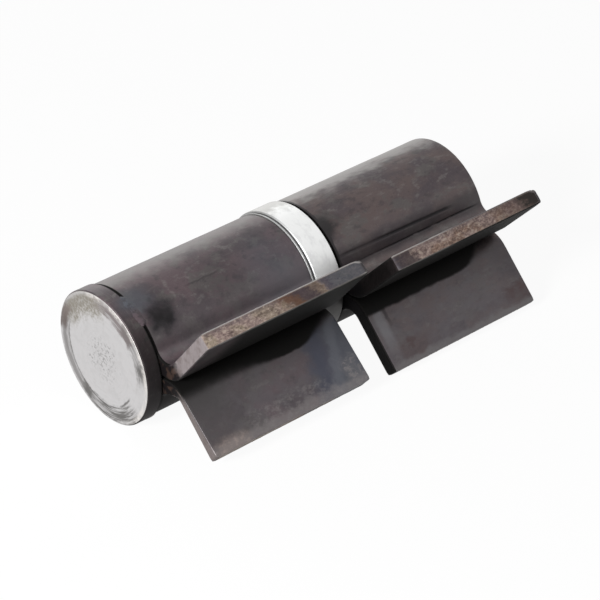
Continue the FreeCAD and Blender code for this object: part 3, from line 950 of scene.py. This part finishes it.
def post_skin():
    """The post half's scale: browner, darker towards the bend, pale beside its near end, greyer at
    the top by a painted reflection, lighter low down by painted light, and in painted shade in the
    mouth, under the barrel and at its near end.
    """
    made = Scale("post_scale", POST_SPAN[0], POST_ANGLE, SCALE_BROWN, 1.6, 11.0)
    mask, near, tint = made.mask, made.near, made.tint
    across = made.value("across")
    along = made.value("along")
    out = along - LOWER_FLAT
    mottle = made.noise(4.0, (1.6, 1, 1), detail=5.0, rough=0.6, seed=18.0)
    stray = mottle - 0.5
    # Painted reflection: the barrel's upper edge is greyed as if it mirrored the white
    # surroundings.
    tint(near(made.around() + stray * 40, 121.0, 12.0, 23.0) * 0.80, (0.320, 0.305, 0.295))
    # Painted light: the barrel's lower front is made lighter, as if more light reached it.
    tint(made.painted_light_low_side(stray, 74.0, 22.0) * 0.22, (0.170, 0.148, 0.150))
    bend = near(along + stray * 5, STARTS["roll"] + 0.5, 2.5, 4.5)
    tint(bend * 0.60, (0.026, 0.022, 0.025))
    smoked = made.scorch(1.5, 57, 5.5, 19.0) + made.scorch(2.5, 64, 8.0, 27.0, 1.4) * 0.75
    # Painted shade: edge darkens the skin beside the ring's gap, where no light gets in. smoked is
    # a real smoke stain.
    edge = near(across + stray * 1.5, 0.3, 0.3, 1.0) * mask(out, 0.0, -20.0)
    tint(made.full(smoked * 0.8 + edge) * 0.9, (0.010, 0.009, 0.010))
    singed = mask(across + stray * 7, 4.5, 0.0) * mask(along, LONG_WING + 7, LONG_WING + 1)
    singed = singed * mask(along + stray * 8, 3.0, 9.0)
    tint(singed * 0.75, (0.020, 0.016, 0.016))

    wing = mask(out, -4.0, 0.0)
    tint(wing * (0.42 + 0.32 * mask(mottle, 0.40, 0.60)), WING_GREY)
    pale = near(across + stray * 2.5, 4.3, 1.0, 2.2) * mask(out, 20.0, 8.0)
    tint(pale * wing * 0.55, (0.190, 0.188, 0.200))
    seam = near(across + stray * 1.5, 7.6, 0.2, 0.9) * mask(out, 10.0, 3.0)
    tint(seam * wing * 0.6, BURN)
    tint(mask(across + stray * 12, 56.0, 68.0) * wing * 0.35, SCALE_DARK)
    reddish = near(out + stray * 10, 18.0, 1.5, 3.5) * mask(across, 5.0, 8.0)
    ends = mask(across + stray * 16, 27.0, 12.0) + mask(across + stray * 12, 55.0, 66.0)
    tint(reddish * ends * (0.35 + 0.5 * mask(mottle, 0.44, 0.60)), (0.062, 0.038, 0.038))
    tint(mask(out + stray * 5, 20.3, 22.3) * 0.45, (0.170, 0.165, 0.165))
    broken = (0.45 + 0.55 * mask(across, 14.0, 28.0)) * mask(mottle, 0.26, 0.42)
    for line in POST_LINES:
        middle = (line.start + line.end) / 2
        ends = near(across, middle, line.end - middle - 4, LINE_FADE)
        off = along - across * line.slant - line.first
        tint(near(off, 0.0, line.width * 0.6, line.width) * ends * broken * 0.95, BURN)

    # Painted shade: rim blackens the near rim in the gate half's shadow. The mouth and the barrel's
    # underside get painted shade too.
    rim = mask(across, 0.50, 0.25) * 0.9
    soot_and_shade = made.shade_in_mouth(1.3, (46.0, 68.0), 7.0, -30.0) + rim + made.shade_under_barrel(stray, 18.0)
    made.soot_and_shade(made.full(soot_and_shade))
    dull = mask(across + stray * 14, 20.0, 32.0) * mask(along, LONG_WING, LONG_WING - 6)
    made.rub_rim(12.0, 1 - 0.85 * dull)
    return made.surface(made.roughness, made.metallic, made.height)


POST_LINES = [
    PressLine(20.3, 0.0, 0.50, 0.22, 8, 68),
    PressLine(31.6, -0.0131, 0.45, 0.16, 0, 56),
]
GATE_SKIN = gate_skin()
POST_SKIN = post_skin()

# %% [markdown]
# A shear bites cleanly for the first third of the thickness and tears the rest, and the torn steel
# rusts first. The tip of each wing is therefore granular, khaki or russet, between two thin bright
# rims, and it darkens in bands where it was heated or handled. The plate's ends were sawn to
# length: pale at the near end of the gate half, and painted black as shade in the gap between the
# halves, where the gate half keeps the light off the post half's end.

# %% Sheared tips and cut ends
TORN_PALE = (0.470, 0.380, 0.320)
TORN_KHAKI = (0.305, 0.245, 0.185)
TORN_RUSSET = (0.230, 0.150, 0.115)
TORN_PINK = (0.300, 0.220, 0.200)
TORN_BROWN = (0.082, 0.056, 0.050)
TORN_SHADE = (0.100, 0.080, 0.088)
HEAT_BLUE = (0.075, 0.080, 0.095)
CUT_PALE = (0.190, 0.165, 0.167)
CUT_GREY = (0.085, 0.078, 0.084)
CUT_BROWN = (0.070, 0.052, 0.046)
CUT_SHADE = (0.020, 0.016, 0.016)
CUT_SHADE_BLACK = (0.003, 0.003, 0.003)
ROOT_BROWN = (0.060, 0.038, 0.030)


def sheared_tip(name, seed, warm, bands):
    """A wing's torn tip face.

    Each band across it has its middle, half width and fade in millimetres, a colour and a share.
    """
    made = Finish(name, 1.35)
    depth = made.value("depth")
    tears = made.noise(1.2, (1.7, 1, 1), detail=5.0, rough=0.60, seed=seed)
    lumps = made.noise(4.0, (1.4, 1, 1), seed=seed + 4)
    grains = made.noise(0.7, (1.3, 1, 1), detail=3.0, rough=0.6, seed=seed + 2)
    hues = made.noise(6.0, detail=3.0, seed=seed + 1)
    made.colour = made.mix(made.mask(hues, 0.40, 0.60), warm, TORN_PINK)
    for value, low, high, share, colour in (
        (lumps, 0.52, 0.36, 0.45, TORN_BROWN),
        (tears, 0.50, 0.34, 0.70, TORN_BROWN),
        (tears, 0.50, 0.66, 0.75, TORN_PALE),
        (depth + (lumps - 0.5) * 4, 0.4, 2.6, 0.60, TORN_SHADE),
        (grains, 0.46, 0.30, 0.45, TORN_BROWN),
        (grains, 0.52, 0.68, 0.45, TORN_PALE),
    ):
        made.tint(made.mask(value, low, high) * share, colour)
    wander = made.value("across") + depth * 0.6
    wander = wander + (hues - 0.5) * 5 + (tears - 0.5) * 9 + (lumps - 0.5) * 9
    for middle, half, fade, colour, share in bands:
        made.tint(made.near(wander, middle, half, fade) * share, colour)
    made.colour = made.colour * (0.70 + 0.60 * grains)
    rims = made.mask(depth, 2.15, 2.5) * 0.20 + made.mask(depth, -2.2, -2.5) * 0.10
    made.tint(rims, TORN_PALE)
    return made.surface(0.55 + 0.2 * grains, 0.0, 0.16 * tears + 0.05 * grains)


def cut_end(name, seed, pale, dark, root_colour, low=0.6, painted_shade=0.0):
    """The sawn end of a plate: dark towards the root, and darker on the lower wing by low.
    painted_shade turns it into black metal, for an end that stands in shade.
    """
    made = Finish(name)
    along = made.value("along")
    middle = STRIP / 2
    root_ends = middle - LONG_WING
    streaks = made.noise(0.8, (1, 1, 5), detail=3.0, seed=seed)
    blotches = made.noise(4.0, rough=0.6, seed=seed + 1)
    made.colour = made.mix(made.mask(streaks, 0.3, 0.7) * 0.25, pale, dark)
    made.tint(made.mask(blotches, 0.50, 0.68) * 0.5, dark)
    made.tint(made.mask(along, middle - 5, middle + 5) * low, dark)
    off = made.node("Math", {"operation": "ABSOLUTE"}, {0: along - middle})
    root = made.mask(off + (blotches - 0.5) * 9, root_ends + 4.5, root_ends - 1.5)
    made.tint(root * 0.95, made.mix(made.mask(blotches, 0.48, 0.62), BURN, root_colour))
    return made.surface(0.60 + 0.2 * streaks, made.full(root + painted_shade), 0.03 * streaks)


GATE_TIP = sheared_tip("gate_tip", 21.0, TORN_KHAKI, [
    (38.5, 1.0, 6.5, (0.098, 0.048, 0.030), 0.92),
    (45.0, 2.2, 4.5, (0.048, 0.034, 0.040), 0.92),
    (49.5, 0.4, 3.0, (0.170, 0.125, 0.095), 0.65),
    (55.0, 1.0, 3.5, (0.054, 0.052, 0.070), 0.85),
    (69.0, 10.5, 4.0, HEAT_BLUE, 0.88),
])
POST_TIP = sheared_tip("post_tip", 25.0, TORN_RUSSET, [
    (-3.0, 5.0, 3.5, (0.058, 0.056, 0.068), 0.90),
    (5.5, 2.2, 4.6, (0.040, 0.030, 0.034), 0.86),
    (57.0, 4.0, 6.5, (0.090, 0.058, 0.052), 0.50),
    (72.0, 7.5, 4.5, (0.016, 0.012, 0.010), 1.00),
])
GATE_CUT = cut_end("gate_cut", 31.0, CUT_PALE, CUT_BROWN, ROOT_BROWN)
# Painted shade: the post half's near end stands in the gap, where the gate half keeps the light
# off, and is painted black.
POST_CUT_SHADE = cut_end("post_cut_shade", 35.0, CUT_SHADE, CUT_SHADE_BLACK, BURN, 0.95, 1.0)
FAR_END = cut_end("far_cut", 37.0, CUT_GREY, CUT_BROWN, ROOT_BROWN)

# %% [markdown]
# ## The two halves
#
# With the finishes ready, each half's plate is made at its own angle. The post half carries the
# two press lines, where the edge of the forming tool met the plate. The gate half has none, but
# its tip and the near end of its lower wing are further out of square.

# %% Make the yokes
gate_plate = make_plate(
    "gate_plate", GATE_SPAN, GATE_ANGLE, [], [GATE_SKIN, GATE_TIP, GATE_CUT, FAR_END],
    rims=(1.0, 0.85, 0.78, 0.95), skew=1.2, lean=1.8, seed=1)
dressed(gate_plate, "gate_yoke", "gate_half")

post_plate = make_plate(
    "post_plate", POST_SPAN, POST_ANGLE, POST_LINES, [POST_SKIN, POST_TIP, POST_CUT_SHADE, FAR_END],
    rims=(0.95, 0.85, 0.2, 0.5), skew=0.5, lean=0.0, seed=5)
dressed(post_plate, "post_yoke", "post_half")

# %% [markdown]
# ## The head end
#
# The pin's head fills a collar, the two are joined by a weld, and the whole face is then turned
# and ground flush, so that it ends as one bright disc in a dark ring. The grinder leaves its
# marks: a dull ring over the weld, fine arcs and dark spots in it, and a khaki bloom of rust where
# the face was handled.

# %% The finishes of the head end
GROUND = (0.55, 0.540, 0.542)
GROUND_DULL = (0.30, 0.295, 0.29)
GROUND_SMEAR = (0.235, 0.225, 0.222)
GROUND_PINK = (0.22, 0.185, 0.185)
GROUND_DARK = (0.13, 0.125, 0.12)
RIM_HIGHLIGHT = (0.72, 0.69, 0.66)
KHAKI = (0.165, 0.148, 0.118)
HEAD_RADIUS = COLLAR - 3.8


def ground_face(name, seed):
    """Ground steel: a clean middle, a dull ring over the weld, scratches and a rust bloom."""
    made = Finish(name, 2.4)
    mask, near, tint = made.mask, made.near, made.tint
    away = made.from_axis()
    angle = made.around()
    arcs = made.node("CombineXYZ", {}, {0: away * 1.3 + angle * 0.02, 1: angle * 0.035, 2: seed})
    sockets = {"Vector": arcs, "Scale": 1.0, "Detail": 4.0, "Roughness": 0.6}
    turned = made.node("TexNoise", {}, sockets)
    clouds = made.noise(4.5, detail=6.0, rough=0.65, seed=seed)
    fine = made.noise(1.1, rough=0.7, seed=seed + 1)
    stray = clouds - 0.5
    fine_stray = fine - 0.5
    ragged = away + stray * 5 + fine_stray * 2
    streaks = mask(turned, 0.40, 0.58)

    def stretch(middle, half, fade):
        """1 round a stretch of the face, by the angle from the wings."""
        wound = made.node("Math", {"operation": "WRAP"}, {0: angle - middle, 1: 180.0, 2: -180.0})
        return near(wound + stray * 24, 0.0, half, fade)

    made.colour = made.mix(mask(clouds, 0.46, 0.66) * 0.14, GROUND, GROUND_DULL)
    tint(mask(turned, 0.50, 0.66) * 0.10, GROUND_DULL)
    over_weld = near(ragged, 22.2, 1.5, 1.6) * (0.35 + 0.65 * streaks)
    tint(over_weld * (1 - stretch(-22, 12, 14)) * 0.75, GROUND_SMEAR)
    back_band = near(away + (turned - 0.5) * 2.5, 22.5, 0.5, 0.9) * stretch(-165, 40, 25)
    tint(back_band * 0.75, GROUND_SMEAR)
    line = near(away + stray * 0.8, 19.9, 0.10, 0.35) * stretch(-140, 50, 20)
    tint(line * 0.60, GROUND_DARK)
    tint(near(ragged, 21.8, 2.6, 1.6) * stretch(-78, 26, 14) * streaks * 0.85, GROUND_DARK)
    arc = near(away + angle * 0.03 + stray * 1.2, 16.3, 0.14, 0.45) * stretch(-52, 10, 9)
    tint(arc * 0.8, GROUND_DARK)
    for place, radius in ((12.0, 23.3), (47.0, 22.3), (-121.0, 22.0)):
        tint(near(ragged, radius, 1.2, 1.8) * stretch(place, 3.0, 9.0) * 0.85, GROUND_DARK)
    top_band = near(ragged, 21.9, 1.6, 1.8) * stretch(70, 24, 16)
    tint(top_band * (0.25 + 0.60 * streaks), GROUND_PINK)
    bloom = mask(away + stray * 8 + fine_stray * 4, 14.0, 19.0) * stretch(122, 22, 26)
    bloom = bloom * (0.40 + 0.60 * mask(away, COLLAR - 0.8, COLLAR - 2.2))
    tint(bloom * (0.60 + 0.40 * mask(fine, 0.40, 0.60)), KHAKI)
    tint(near(ragged, 23.2, 1.2, 1.4) * stretch(158, 8, 12) * 0.80, (0.12, 0.09, 0.08))
    # Painted highlight: a bright band near the face's outer rim, where the chamfer catches the
    # light.
    painted_rim_highlight = mask(away + fine_stray, COLLAR - 2.6, COLLAR - 1.6) * stretch(20, 70, 30)
    tint(painted_rim_highlight * (0.30 + 0.70 * mask(clouds, 0.42, 0.56)) * 0.75, RIM_HIGHLIGHT)
    tint(mask(away, COLLAR - 0.65, COLLAR - 0.45) * 0.65, (0.42, 0.40, 0.385))
    tint(mask(away + stray * 24, 11.0, 3.0) * mask(fine, 0.51, 0.60) * 0.50, GROUND_DARK)
    roughness = 0.46 + 0.10 * clouds + 0.08 * turned + bloom * 0.2
    height = 0.006 * turned + 0.006 * fine - 0.02 * line
    return made.surface(roughness, 1.0 - 0.4 * bloom, height)


def dark_collar(name, seed):
    """The collar's turned outside under thin scale, blued at the weld, with painted shade low down.
    """
    made = Scale(name, 0.0, GATE_ANGLE, SCALE_PURPLE, 1.0, seed)
    rings = made.noise(0.5, (0.6, 30, 30), detail=2.0, seed=seed + 4)
    made.tint(made.mask(rings, 0.5, 0.8) * 0.15, SCALE_GREY)
    made.tint(made.scorch(HEAD_WIDTH, 66, 6.0, 14.0, 0.9) * 0.7, SCALE_BLUE)
    # Painted shade: low darkens the collar's lower side, towards the wings, where less light falls.
    # The crack gets real soot.
    low = made.near(made.around() + (rings - 0.5) * 10, -40.0, 66.0, 66.0)
    crack = made.mask(made.here[0], HEAD_WIDTH - 0.5, HEAD_WIDTH - 0.2)
    made.soot_and_shade(made.full(low * 0.68 + crack))
    return made.surface(made.roughness, made.metallic, made.height + 0.01 * rings)


def weld_bead(name, seed):
    """A weld bead: purple towards the wings, blue-grey round to the back, dulled in patches."""
    made = Finish(name)
    dull = made.noise(2.5, detail=5.0, rough=0.65, seed=seed)
    fine = made.noise(0.6, detail=3.0, seed=seed + 1)
    purple = made.near(made.around(), 0.0, 56.0, 12.0)
    made.colour = made.mix(purple, (0.085, 0.090, 0.108), (0.100, 0.074, 0.084))
    made.tint(made.mask(dull, 0.44, 0.66) * 0.7, SCALE_DARK)
    made.tint(made.mask(fine, 0.58, 0.76) * 0.3, SCALE_GREY)
    return made.surface(0.34 + 0.20 * dull, OXIDE, 0.03 * dull + 0.01 * fine)


def machined(name, pale, dark, roughness, rings, oil, seed):
    """Plain machined metal: rings from the tool, and a film of oil.

    roughness is the least, and what the rings add. rings are their size and how long they are
    drawn out. oil is the size, the detail and the greatest share of the film.
    """
    made = Finish(name, 2.4)
    least, added = roughness
    size, drawn = rings
    film_size, detail, oiled = oil
    tool = made.noise(size, (1, drawn, drawn), detail=2.0, seed=seed)
    film = made.noise(film_size, detail=detail, seed=seed + 1)
    made.colour = made.mix(made.mask(film, 0.4, 0.7) * oiled, pale, dark)
    return made.surface(least + added * tool, 1.0, 0.01 * tool)


FACE = ground_face("ground_face", 41.0)
COLLAR_SCALE = dark_collar("collar_scale", 45.0)
BEAD = weld_bead("weld_bead", 51.0)
TURNED = machined("turned_steel", (0.42, 0.41, 0.40), (0.24, 0.21, 0.17),
                  (0.28, 0.2), (0.4, 40), (9.0, 3.0, 0.5), 61.0)

# %% [markdown]
# The pin, the collar and the weld between them are turned pieces. A profile is written as it would
# be for a lathe: points of (distance along, radius), once round the metal.

# %% Turn the head end
PIN_LENGTH = node_span("pivot_pin")[1]
PIN_RADIUS = 12.5
PIN_CHAMFER = 0.8
COLLAR_CHAMFER = 0.5
WELD_DEPTH = 1.9
WELD_HALF = 2.05
WELD_PROUD = 0.01
FACE_ROUND = 0.1

turn_piece("pin_head", [
    (0.0, 0.0), (PIN_LENGTH, 0.0), (PIN_LENGTH, PIN_RADIUS - PIN_CHAMFER),
    (PIN_LENGTH - PIN_CHAMFER, PIN_RADIUS), (HEAD_WIDTH, PIN_RADIUS), (HEAD_WIDTH, HEAD_RADIUS),
    (WELD_DEPTH, HEAD_RADIUS), (0.0, HEAD_RADIUS - WELD_DEPTH),
], FACE_ROUND, 1.5, [FACE, TURNED], "pivot_pin", "gate_half")
turn_piece("head_ring", [
    (0.0, HEAD_RADIUS + WELD_DEPTH), (WELD_DEPTH, HEAD_RADIUS), (HEAD_WIDTH, HEAD_RADIUS),
    (HEAD_WIDTH, COLLAR), (COLLAR_CHAMFER, COLLAR), (0.0, COLLAR - COLLAR_CHAMFER),
], FACE_ROUND, 1.2, [FACE, COLLAR_SCALE], "head_collar", "gate_half")
turn_piece("ground_weld", [
    (-WELD_PROUD, HEAD_RADIUS - WELD_HALF), (WELD_DEPTH, HEAD_RADIUS),
    (-WELD_PROUD, HEAD_RADIUS + WELD_HALF),
], 0, 0.7, [FACE], "head_weld", "gate_half")

# %% [markdown]
# ## The stitch welds
#
# Collar and plate are joined by three short welds across the crack. A weld is laid in
# overlapping pools, so its crown is a row of crescent ripples, each curved like the pool that froze
# there. The bead is a grid bent round the barrel: its height is a bulge across the crack, times a
# fade at both ends, plus the ripples.

# %% Lay the stitches
STITCH_START = 43.6
STITCH_ARC = 32.0
STITCHES = 3
BEAD_MIDDLE = HEAD_WIDTH + 0.2
BEAD_HALF = 2.5
BEAD_CREST = 0.16
BEAD_ROOT = 1.1
BEAD_SINK = 0.06
RIPPLE = 1.5
CRESCENT = 0.9


def make_stitch(name, first, seed):
    """A stitch weld that starts an angle up from the mouth of the gate half."""
    rows, columns = 96, 17
    s, t = np.meshgrid(np.linspace(0, 1, rows), np.linspace(-1, 1, columns), indexing="ij")
    s, t = s.ravel(), t.ravel()
    fade = np.sqrt(1 - (2 * s - 1) ** 8)
    bulge = 0.5 + 0.5 * np.cos(math.pi * t)
    run = s * math.radians(STITCH_ARC) * BARREL
    ripple = np.abs(np.sin((run + CRESCENT * t ** 2) * math.pi / RIPPLE)) ** 0.6
    wobble = noise_at(np.stack([run, t * BEAD_HALF, np.zeros_like(s)], axis=-1), 2.6, seed)
    foot = BARREL + (COLLAR - BARREL) * np.clip(0.5 - 2.0 * t, 0, 1) - BEAD_SINK
    crest = COLLAR + BEAD_CREST * (0.55 + 0.45 * ripple) + 0.10 * wobble
    crown = foot + (crest - foot) * bulge * fade
    along = BEAD_MIDDLE + BEAD_HALF * fade * (1 + 0.16 * wobble) * t
    angle = GATE_ANGLE + np.radians(first + STITCH_ARC * s)
    points = np.concatenate([
        np.column_stack([along, -height * np.cos(angle), height * np.sin(angle)])
        for height in (crown, np.full_like(crown, BARREL - BEAD_ROOT))])
    skins, steps = sheet_faces(rows, columns, 0)
    faces = skins + [quad[1:] + quad[:1] for quad in steps[0]]
    piece = new_piece(name, points, faces, [BEAD], [0] * len(faces))
    join_points(piece)
    return piece


for number in range(STITCHES):
    stitch_name = "stitch_weld_%d" % (number + 1)
    stitch = make_stitch(stitch_name, STITCH_START + 360 / STITCHES * number, 60 + number)
    dressed(stitch, "collar_stitch_%d" % (number + 1), "gate_half")

# %% [markdown]
# ## The bright ring
#
# The bearing between the halves sits under a zinc-plated cover, the only pale piece. Beside it a
# thin shim shows as a second bright line. Their rims are rounded a little more than a drawing
# would say, since that is what makes two fine lines instead of one hard corner.

# %% Turn the ring and the shim
COVER_START, COVER_END = node_span("bearing_cover")
COVER_WALL = 2.8
FAR_BEVEL = 0.45
NEAR_BEVEL = 0.4
NOSE = 0.35
NOSE_STEP = 1.6
SHIM_START, SHIM_END = node_span("shim_washer")
SHIM = node_radius("shim_washer")
LIP = 0.3
LIP_STEP = 1.2
PLATED_ROUND = 0.16


def plated(name, seed):
    """Bright plated steel, brushed round the ring, with grey smears, and painted shade between the
    wings, at the far rim and along the top.
    """
    made = Finish(name, 2.4)
    brushed = made.noise(0.35, (1, 60, 60), detail=3.0, seed=seed)
    smears = made.noise(5.0, (0.6, 1, 1), detail=5.0, rough=0.6, seed=seed + 1)
    stray = smears - 0.5
    # Painted shade: shade_between_wings darkens the ring's underside between the wings, edge its
    # far rim at the gap to the post half, crown its top.
    shade_between_wings = made.near(made.around() + stray * 20, -27.0, 36.0, 12.0)
    edge = made.mask(made.here[0], COVER_END - 0.35, COVER_END - 0.15)
    crown = made.near(made.around() + stray * 30, 120.0, 14.0, 22.0)
    bevel = made.mask(made.here[0], COVER_START + 0.90, COVER_START + 0.65)
    smeared = made.mask(smears, 0.46, 0.66) * 0.34
    made.colour = made.mix(smeared, (0.80, 0.805, 0.80), (0.54, 0.54, 0.55))
    for mask, share, colour in (
        (made.mask(brushed, 0.6, 0.8), 0.15, (0.40, 0.40, 0.40)),
        # The next three are painted shade.
        (shade_between_wings, 0.97, (0.040, 0.038, 0.037)),
        (edge, 0.8, (0.050, 0.048, 0.046)),
        (crown, 0.80, (0.40, 0.395, 0.38)),
        (bevel, 0.65, (0.22, 0.22, 0.22)),
    ):
        made.tint(mask * share, colour)
    return made.surface(0.42 + 0.16 * smears, 1.0, 0.008 * brushed)


PLATED = plated("plated_ring", 71.0)
turn_piece("bearing_ring", [
    (COVER_START, COVER - COVER_WALL), (COVER_END, COVER - COVER_WALL),
    (COVER_END, COVER - FAR_BEVEL), (COVER_END - FAR_BEVEL, COVER),
    (COVER_START + NOSE + NEAR_BEVEL, COVER), (COVER_START + NOSE, COVER - NEAR_BEVEL),
    (COVER_START + NOSE, COVER - NOSE_STEP), (COVER_START, COVER - NOSE_STEP),
], PLATED_ROUND, 1.5, [PLATED], "bearing_cover", "gate_half")
turn_piece("shim_ring", [
    (SHIM_START, PIN_RADIUS), (SHIM_END, PIN_RADIUS), (SHIM_END, SHIM - LIP_STEP),
    (SHIM_END - LIP, SHIM - LIP_STEP), (SHIM_END - LIP, SHIM), (SHIM_START, SHIM),
], PLATED_ROUND, 1.5, [PLATED], "shim_washer", "gate_half")

# %% [markdown]
# ## The closed end
#
# The far end is closed by a plug, faced off on the lathe. It is turned like the head, but nobody
# polished it: the tool's rings stay, and it is browner.

# %% Turn the end plug
PLUG_START, PLUG_FACE = node_span("end_plug")
PLUG = node_radius("end_plug")
PLUG_CHAMFER = 0.6

turn_piece("end_cap", [
    (PLUG_START, 0.0), (PLUG_FACE, 0.0), (PLUG_FACE, PLUG - PLUG_CHAMFER),
    (PLUG_FACE - PLUG_CHAMFER, PLUG), (PLUG_START, PLUG),
], 0.2, 1.5, [TURNED], "end_plug", "post_half")

# %% [markdown]
# ## What lies inside
#
# Bushes, races, rollers and sleeves keep their solid shapes, since nothing about them is worn or
# bent. They only need their own metals, for whoever takes the hinge apart on screen.

# %% Finish the inner pieces
def inner_metal(name, pale, dark, smooth, seed):
    """A clean machined metal with a film of oil."""
    return machined(name, pale, dark, (smooth, 0.15), (0.5, 30), (6.0, 4.0, 1.0), seed)


INNER = {
    "bronze": inner_metal("bush_bronze", (0.55, 0.36, 0.16), (0.36, 0.22, 0.09), 0.26, 81.0),
    "bearing_steel": inner_metal("race_steel", (0.60, 0.60, 0.61), (0.42, 0.41, 0.40), 0.16, 85.0),
    "cage_steel": inner_metal("cage_steel", (0.48, 0.47, 0.44), (0.30, 0.28, 0.25), 0.34, 91.0),
    "turned_steel": TURNED,
}
for part in frame["record"]["subparts"]:
    inner = bpy.data.objects.get(part["node"])
    if inner is not None and not inner.hide_render:
        inner.data.materials.clear()
        inner.data.materials.append(INNER[part["material_slot"]])
        print("inner piece", part["node"], "is", part["material_slot"])

# %% [markdown]
# ## Floor and background
#
# The hinge lies on a pale floor. The floor has to look white and still keep a soft shadow, so its
# material asks which ray is looking: the camera, and reflections of the floor in bright steel,
# see mostly plain white, while the light that falls on the hinge sees an ordinary matt floor.

# %% Make the floor
WHITE = (1.0, 1.0, 1.0)
FLOOR_WHITE = 1.07
FLOOR_SHARE = 0.88
FLOOR_HALF = 2.5


def seen_white(made, share, matt, white):
    """A shader of which camera, mirror and glass rays see a share of white, and others the matt."""
    rays = [made.node("LightPath", {}, {}, "Is %s Ray" % kind)
            for kind in ("Camera", "Glossy", "Transmission")]
    settings = {"operation": "MAXIMUM"}
    most = made.node("Math", settings, {0: rays[0], 1: rays[1]})
    seen = made.node("Math", settings, {0: most, 1: rays[2]})
    return made.node("MixShader", {}, {0: seen * share, 1: matt, 2: white})


def floor_finish():
    """Matt paper that the camera sees as white, with a soft shadow left in it."""
    made = Finish("paper_floor")
    grey = made.mix(made.noise(40.0, detail=3.0), (0.48, 0.48, 0.48), (0.52, 0.52, 0.52))
    paper = made.node("BsdfDiffuse", {}, {"Color": grey})
    white = made.node("Emission", {}, {"Color": WHITE, "Strength": FLOOR_WHITE})
    made.node("OutputMaterial", {}, {"Surface": seen_white(made, FLOOR_SHARE, paper, white)})
    return made.material


low_z = solid_box[0][2]
corners = [(-1, -1), (1, -1), (1, 1), (-1, 1)]
floor_mesh = bpy.data.meshes.new("floor")
corners = [(x * FLOOR_HALF, y * FLOOR_HALF, low_z) for x, y in corners]
floor_mesh.from_pydata(corners, [], [(0, 1, 2, 3)])
floor_mesh.materials.append(floor_finish())
floor = put_in_scene("floor", floor_mesh)
print("the floor lies at %.4f m" % low_z)

# %% [markdown]
# ## Light
#
# Dark scale shows its shape by reflections more than by shade. A small, strong soft box stands low
# on the head's side and a little in front, for the disc and the tips of the wings. A large, weak
# one behind gives the barrels a pale upper edge, which their finishes add to with a painted
# reflection, and leaves the space under the upper wings black, which painted shade deepens.
# The world adds a weak grey fill, and shows white only to the camera and to reflections.

# %% Lamps and world
CENTRE = Vector([(low + high) / 2 for low, high in zip(*solid_box)])
WORLD_FILL = 0.10


def soft_box(name, place, width, watts):
    """A square area lamp at a place relative to the hinge's middle, facing it."""
    lamp = bpy.data.lights.new(name, "AREA")
    lamp.shape = "SQUARE"
    lamp.size = width
    lamp.energy = watts
    holder = put_in_scene(name, lamp)
    holder.location = CENTRE + Vector(place)
    holder.rotation_euler = (-Vector(place)).to_track_quat("-Z", "Y").to_euler()
    print(name, "gives %.0f W from %.2f m square" % (watts, width))


soft_box("key_box", (-0.95, -0.24, 0.48), 0.25, 16.0)
soft_box("back_box", (0.25, 1.00, 0.38), 0.80, 2.0)

world = bpy.data.worlds.new("studio")
world.use_nodes = True
sky = Nodes(world.node_tree)
sky_white = sky.node("Background", {}, {"Color": WHITE, "Strength": 1.0})
sky_grey = sky.node("Background", {}, {"Color": WHITE, "Strength": WORLD_FILL})
sky.node("OutputWorld", {}, {"Surface": seen_white(sky, 1.0, sky_grey, sky_white)})
bpy.context.scene.world = world
bpy.context.scene.view_settings.view_transform = "Standard"

# %% [markdown]
# ## Camera
#
# A long lens from above the head's side. The camera looks at a point near the hinge's middle, from
# a turn and a height about it, and is then tipped about the barrel's axis by a few degrees, because
# the hinge lies on its plates and not on a level barrel.

# %% Place the camera
LOOK_AT = Vector((0.14312, 0.06211, -0.07158))
TURN = math.radians(-40.45)
RISE = math.radians(34.51)
DISTANCE = 1.02034
TIP_UP = math.radians(3.436)
FILM_WIDTH = 36.0
LENS = 148.8

back = Vector((math.sin(TURN) * math.cos(RISE), -math.cos(TURN) * math.cos(RISE), math.sin(RISE)))
sideways = (-back).cross(Vector((0, 0, 1))).normalized()
upwards = sideways.cross(-back)
aim = Matrix((sideways, upwards, back)).transposed().to_4x4()
stand = Matrix.Translation(LOOK_AT + back * DISTANCE) @ aim
camera_data = bpy.data.cameras.new("camera")
camera_data.sensor_width = FILM_WIDTH
camera_data.lens = LENS
camera_data.clip_start = 0.05
camera_data.clip_end = 20.0
camera = put_in_scene("camera", camera_data)
camera.matrix_world = Matrix.Rotation(TIP_UP, 4, "X") @ stand
bpy.context.scene.camera = camera
print("camera stands at", [round(part, 4) for part in camera.matrix_world.translation])
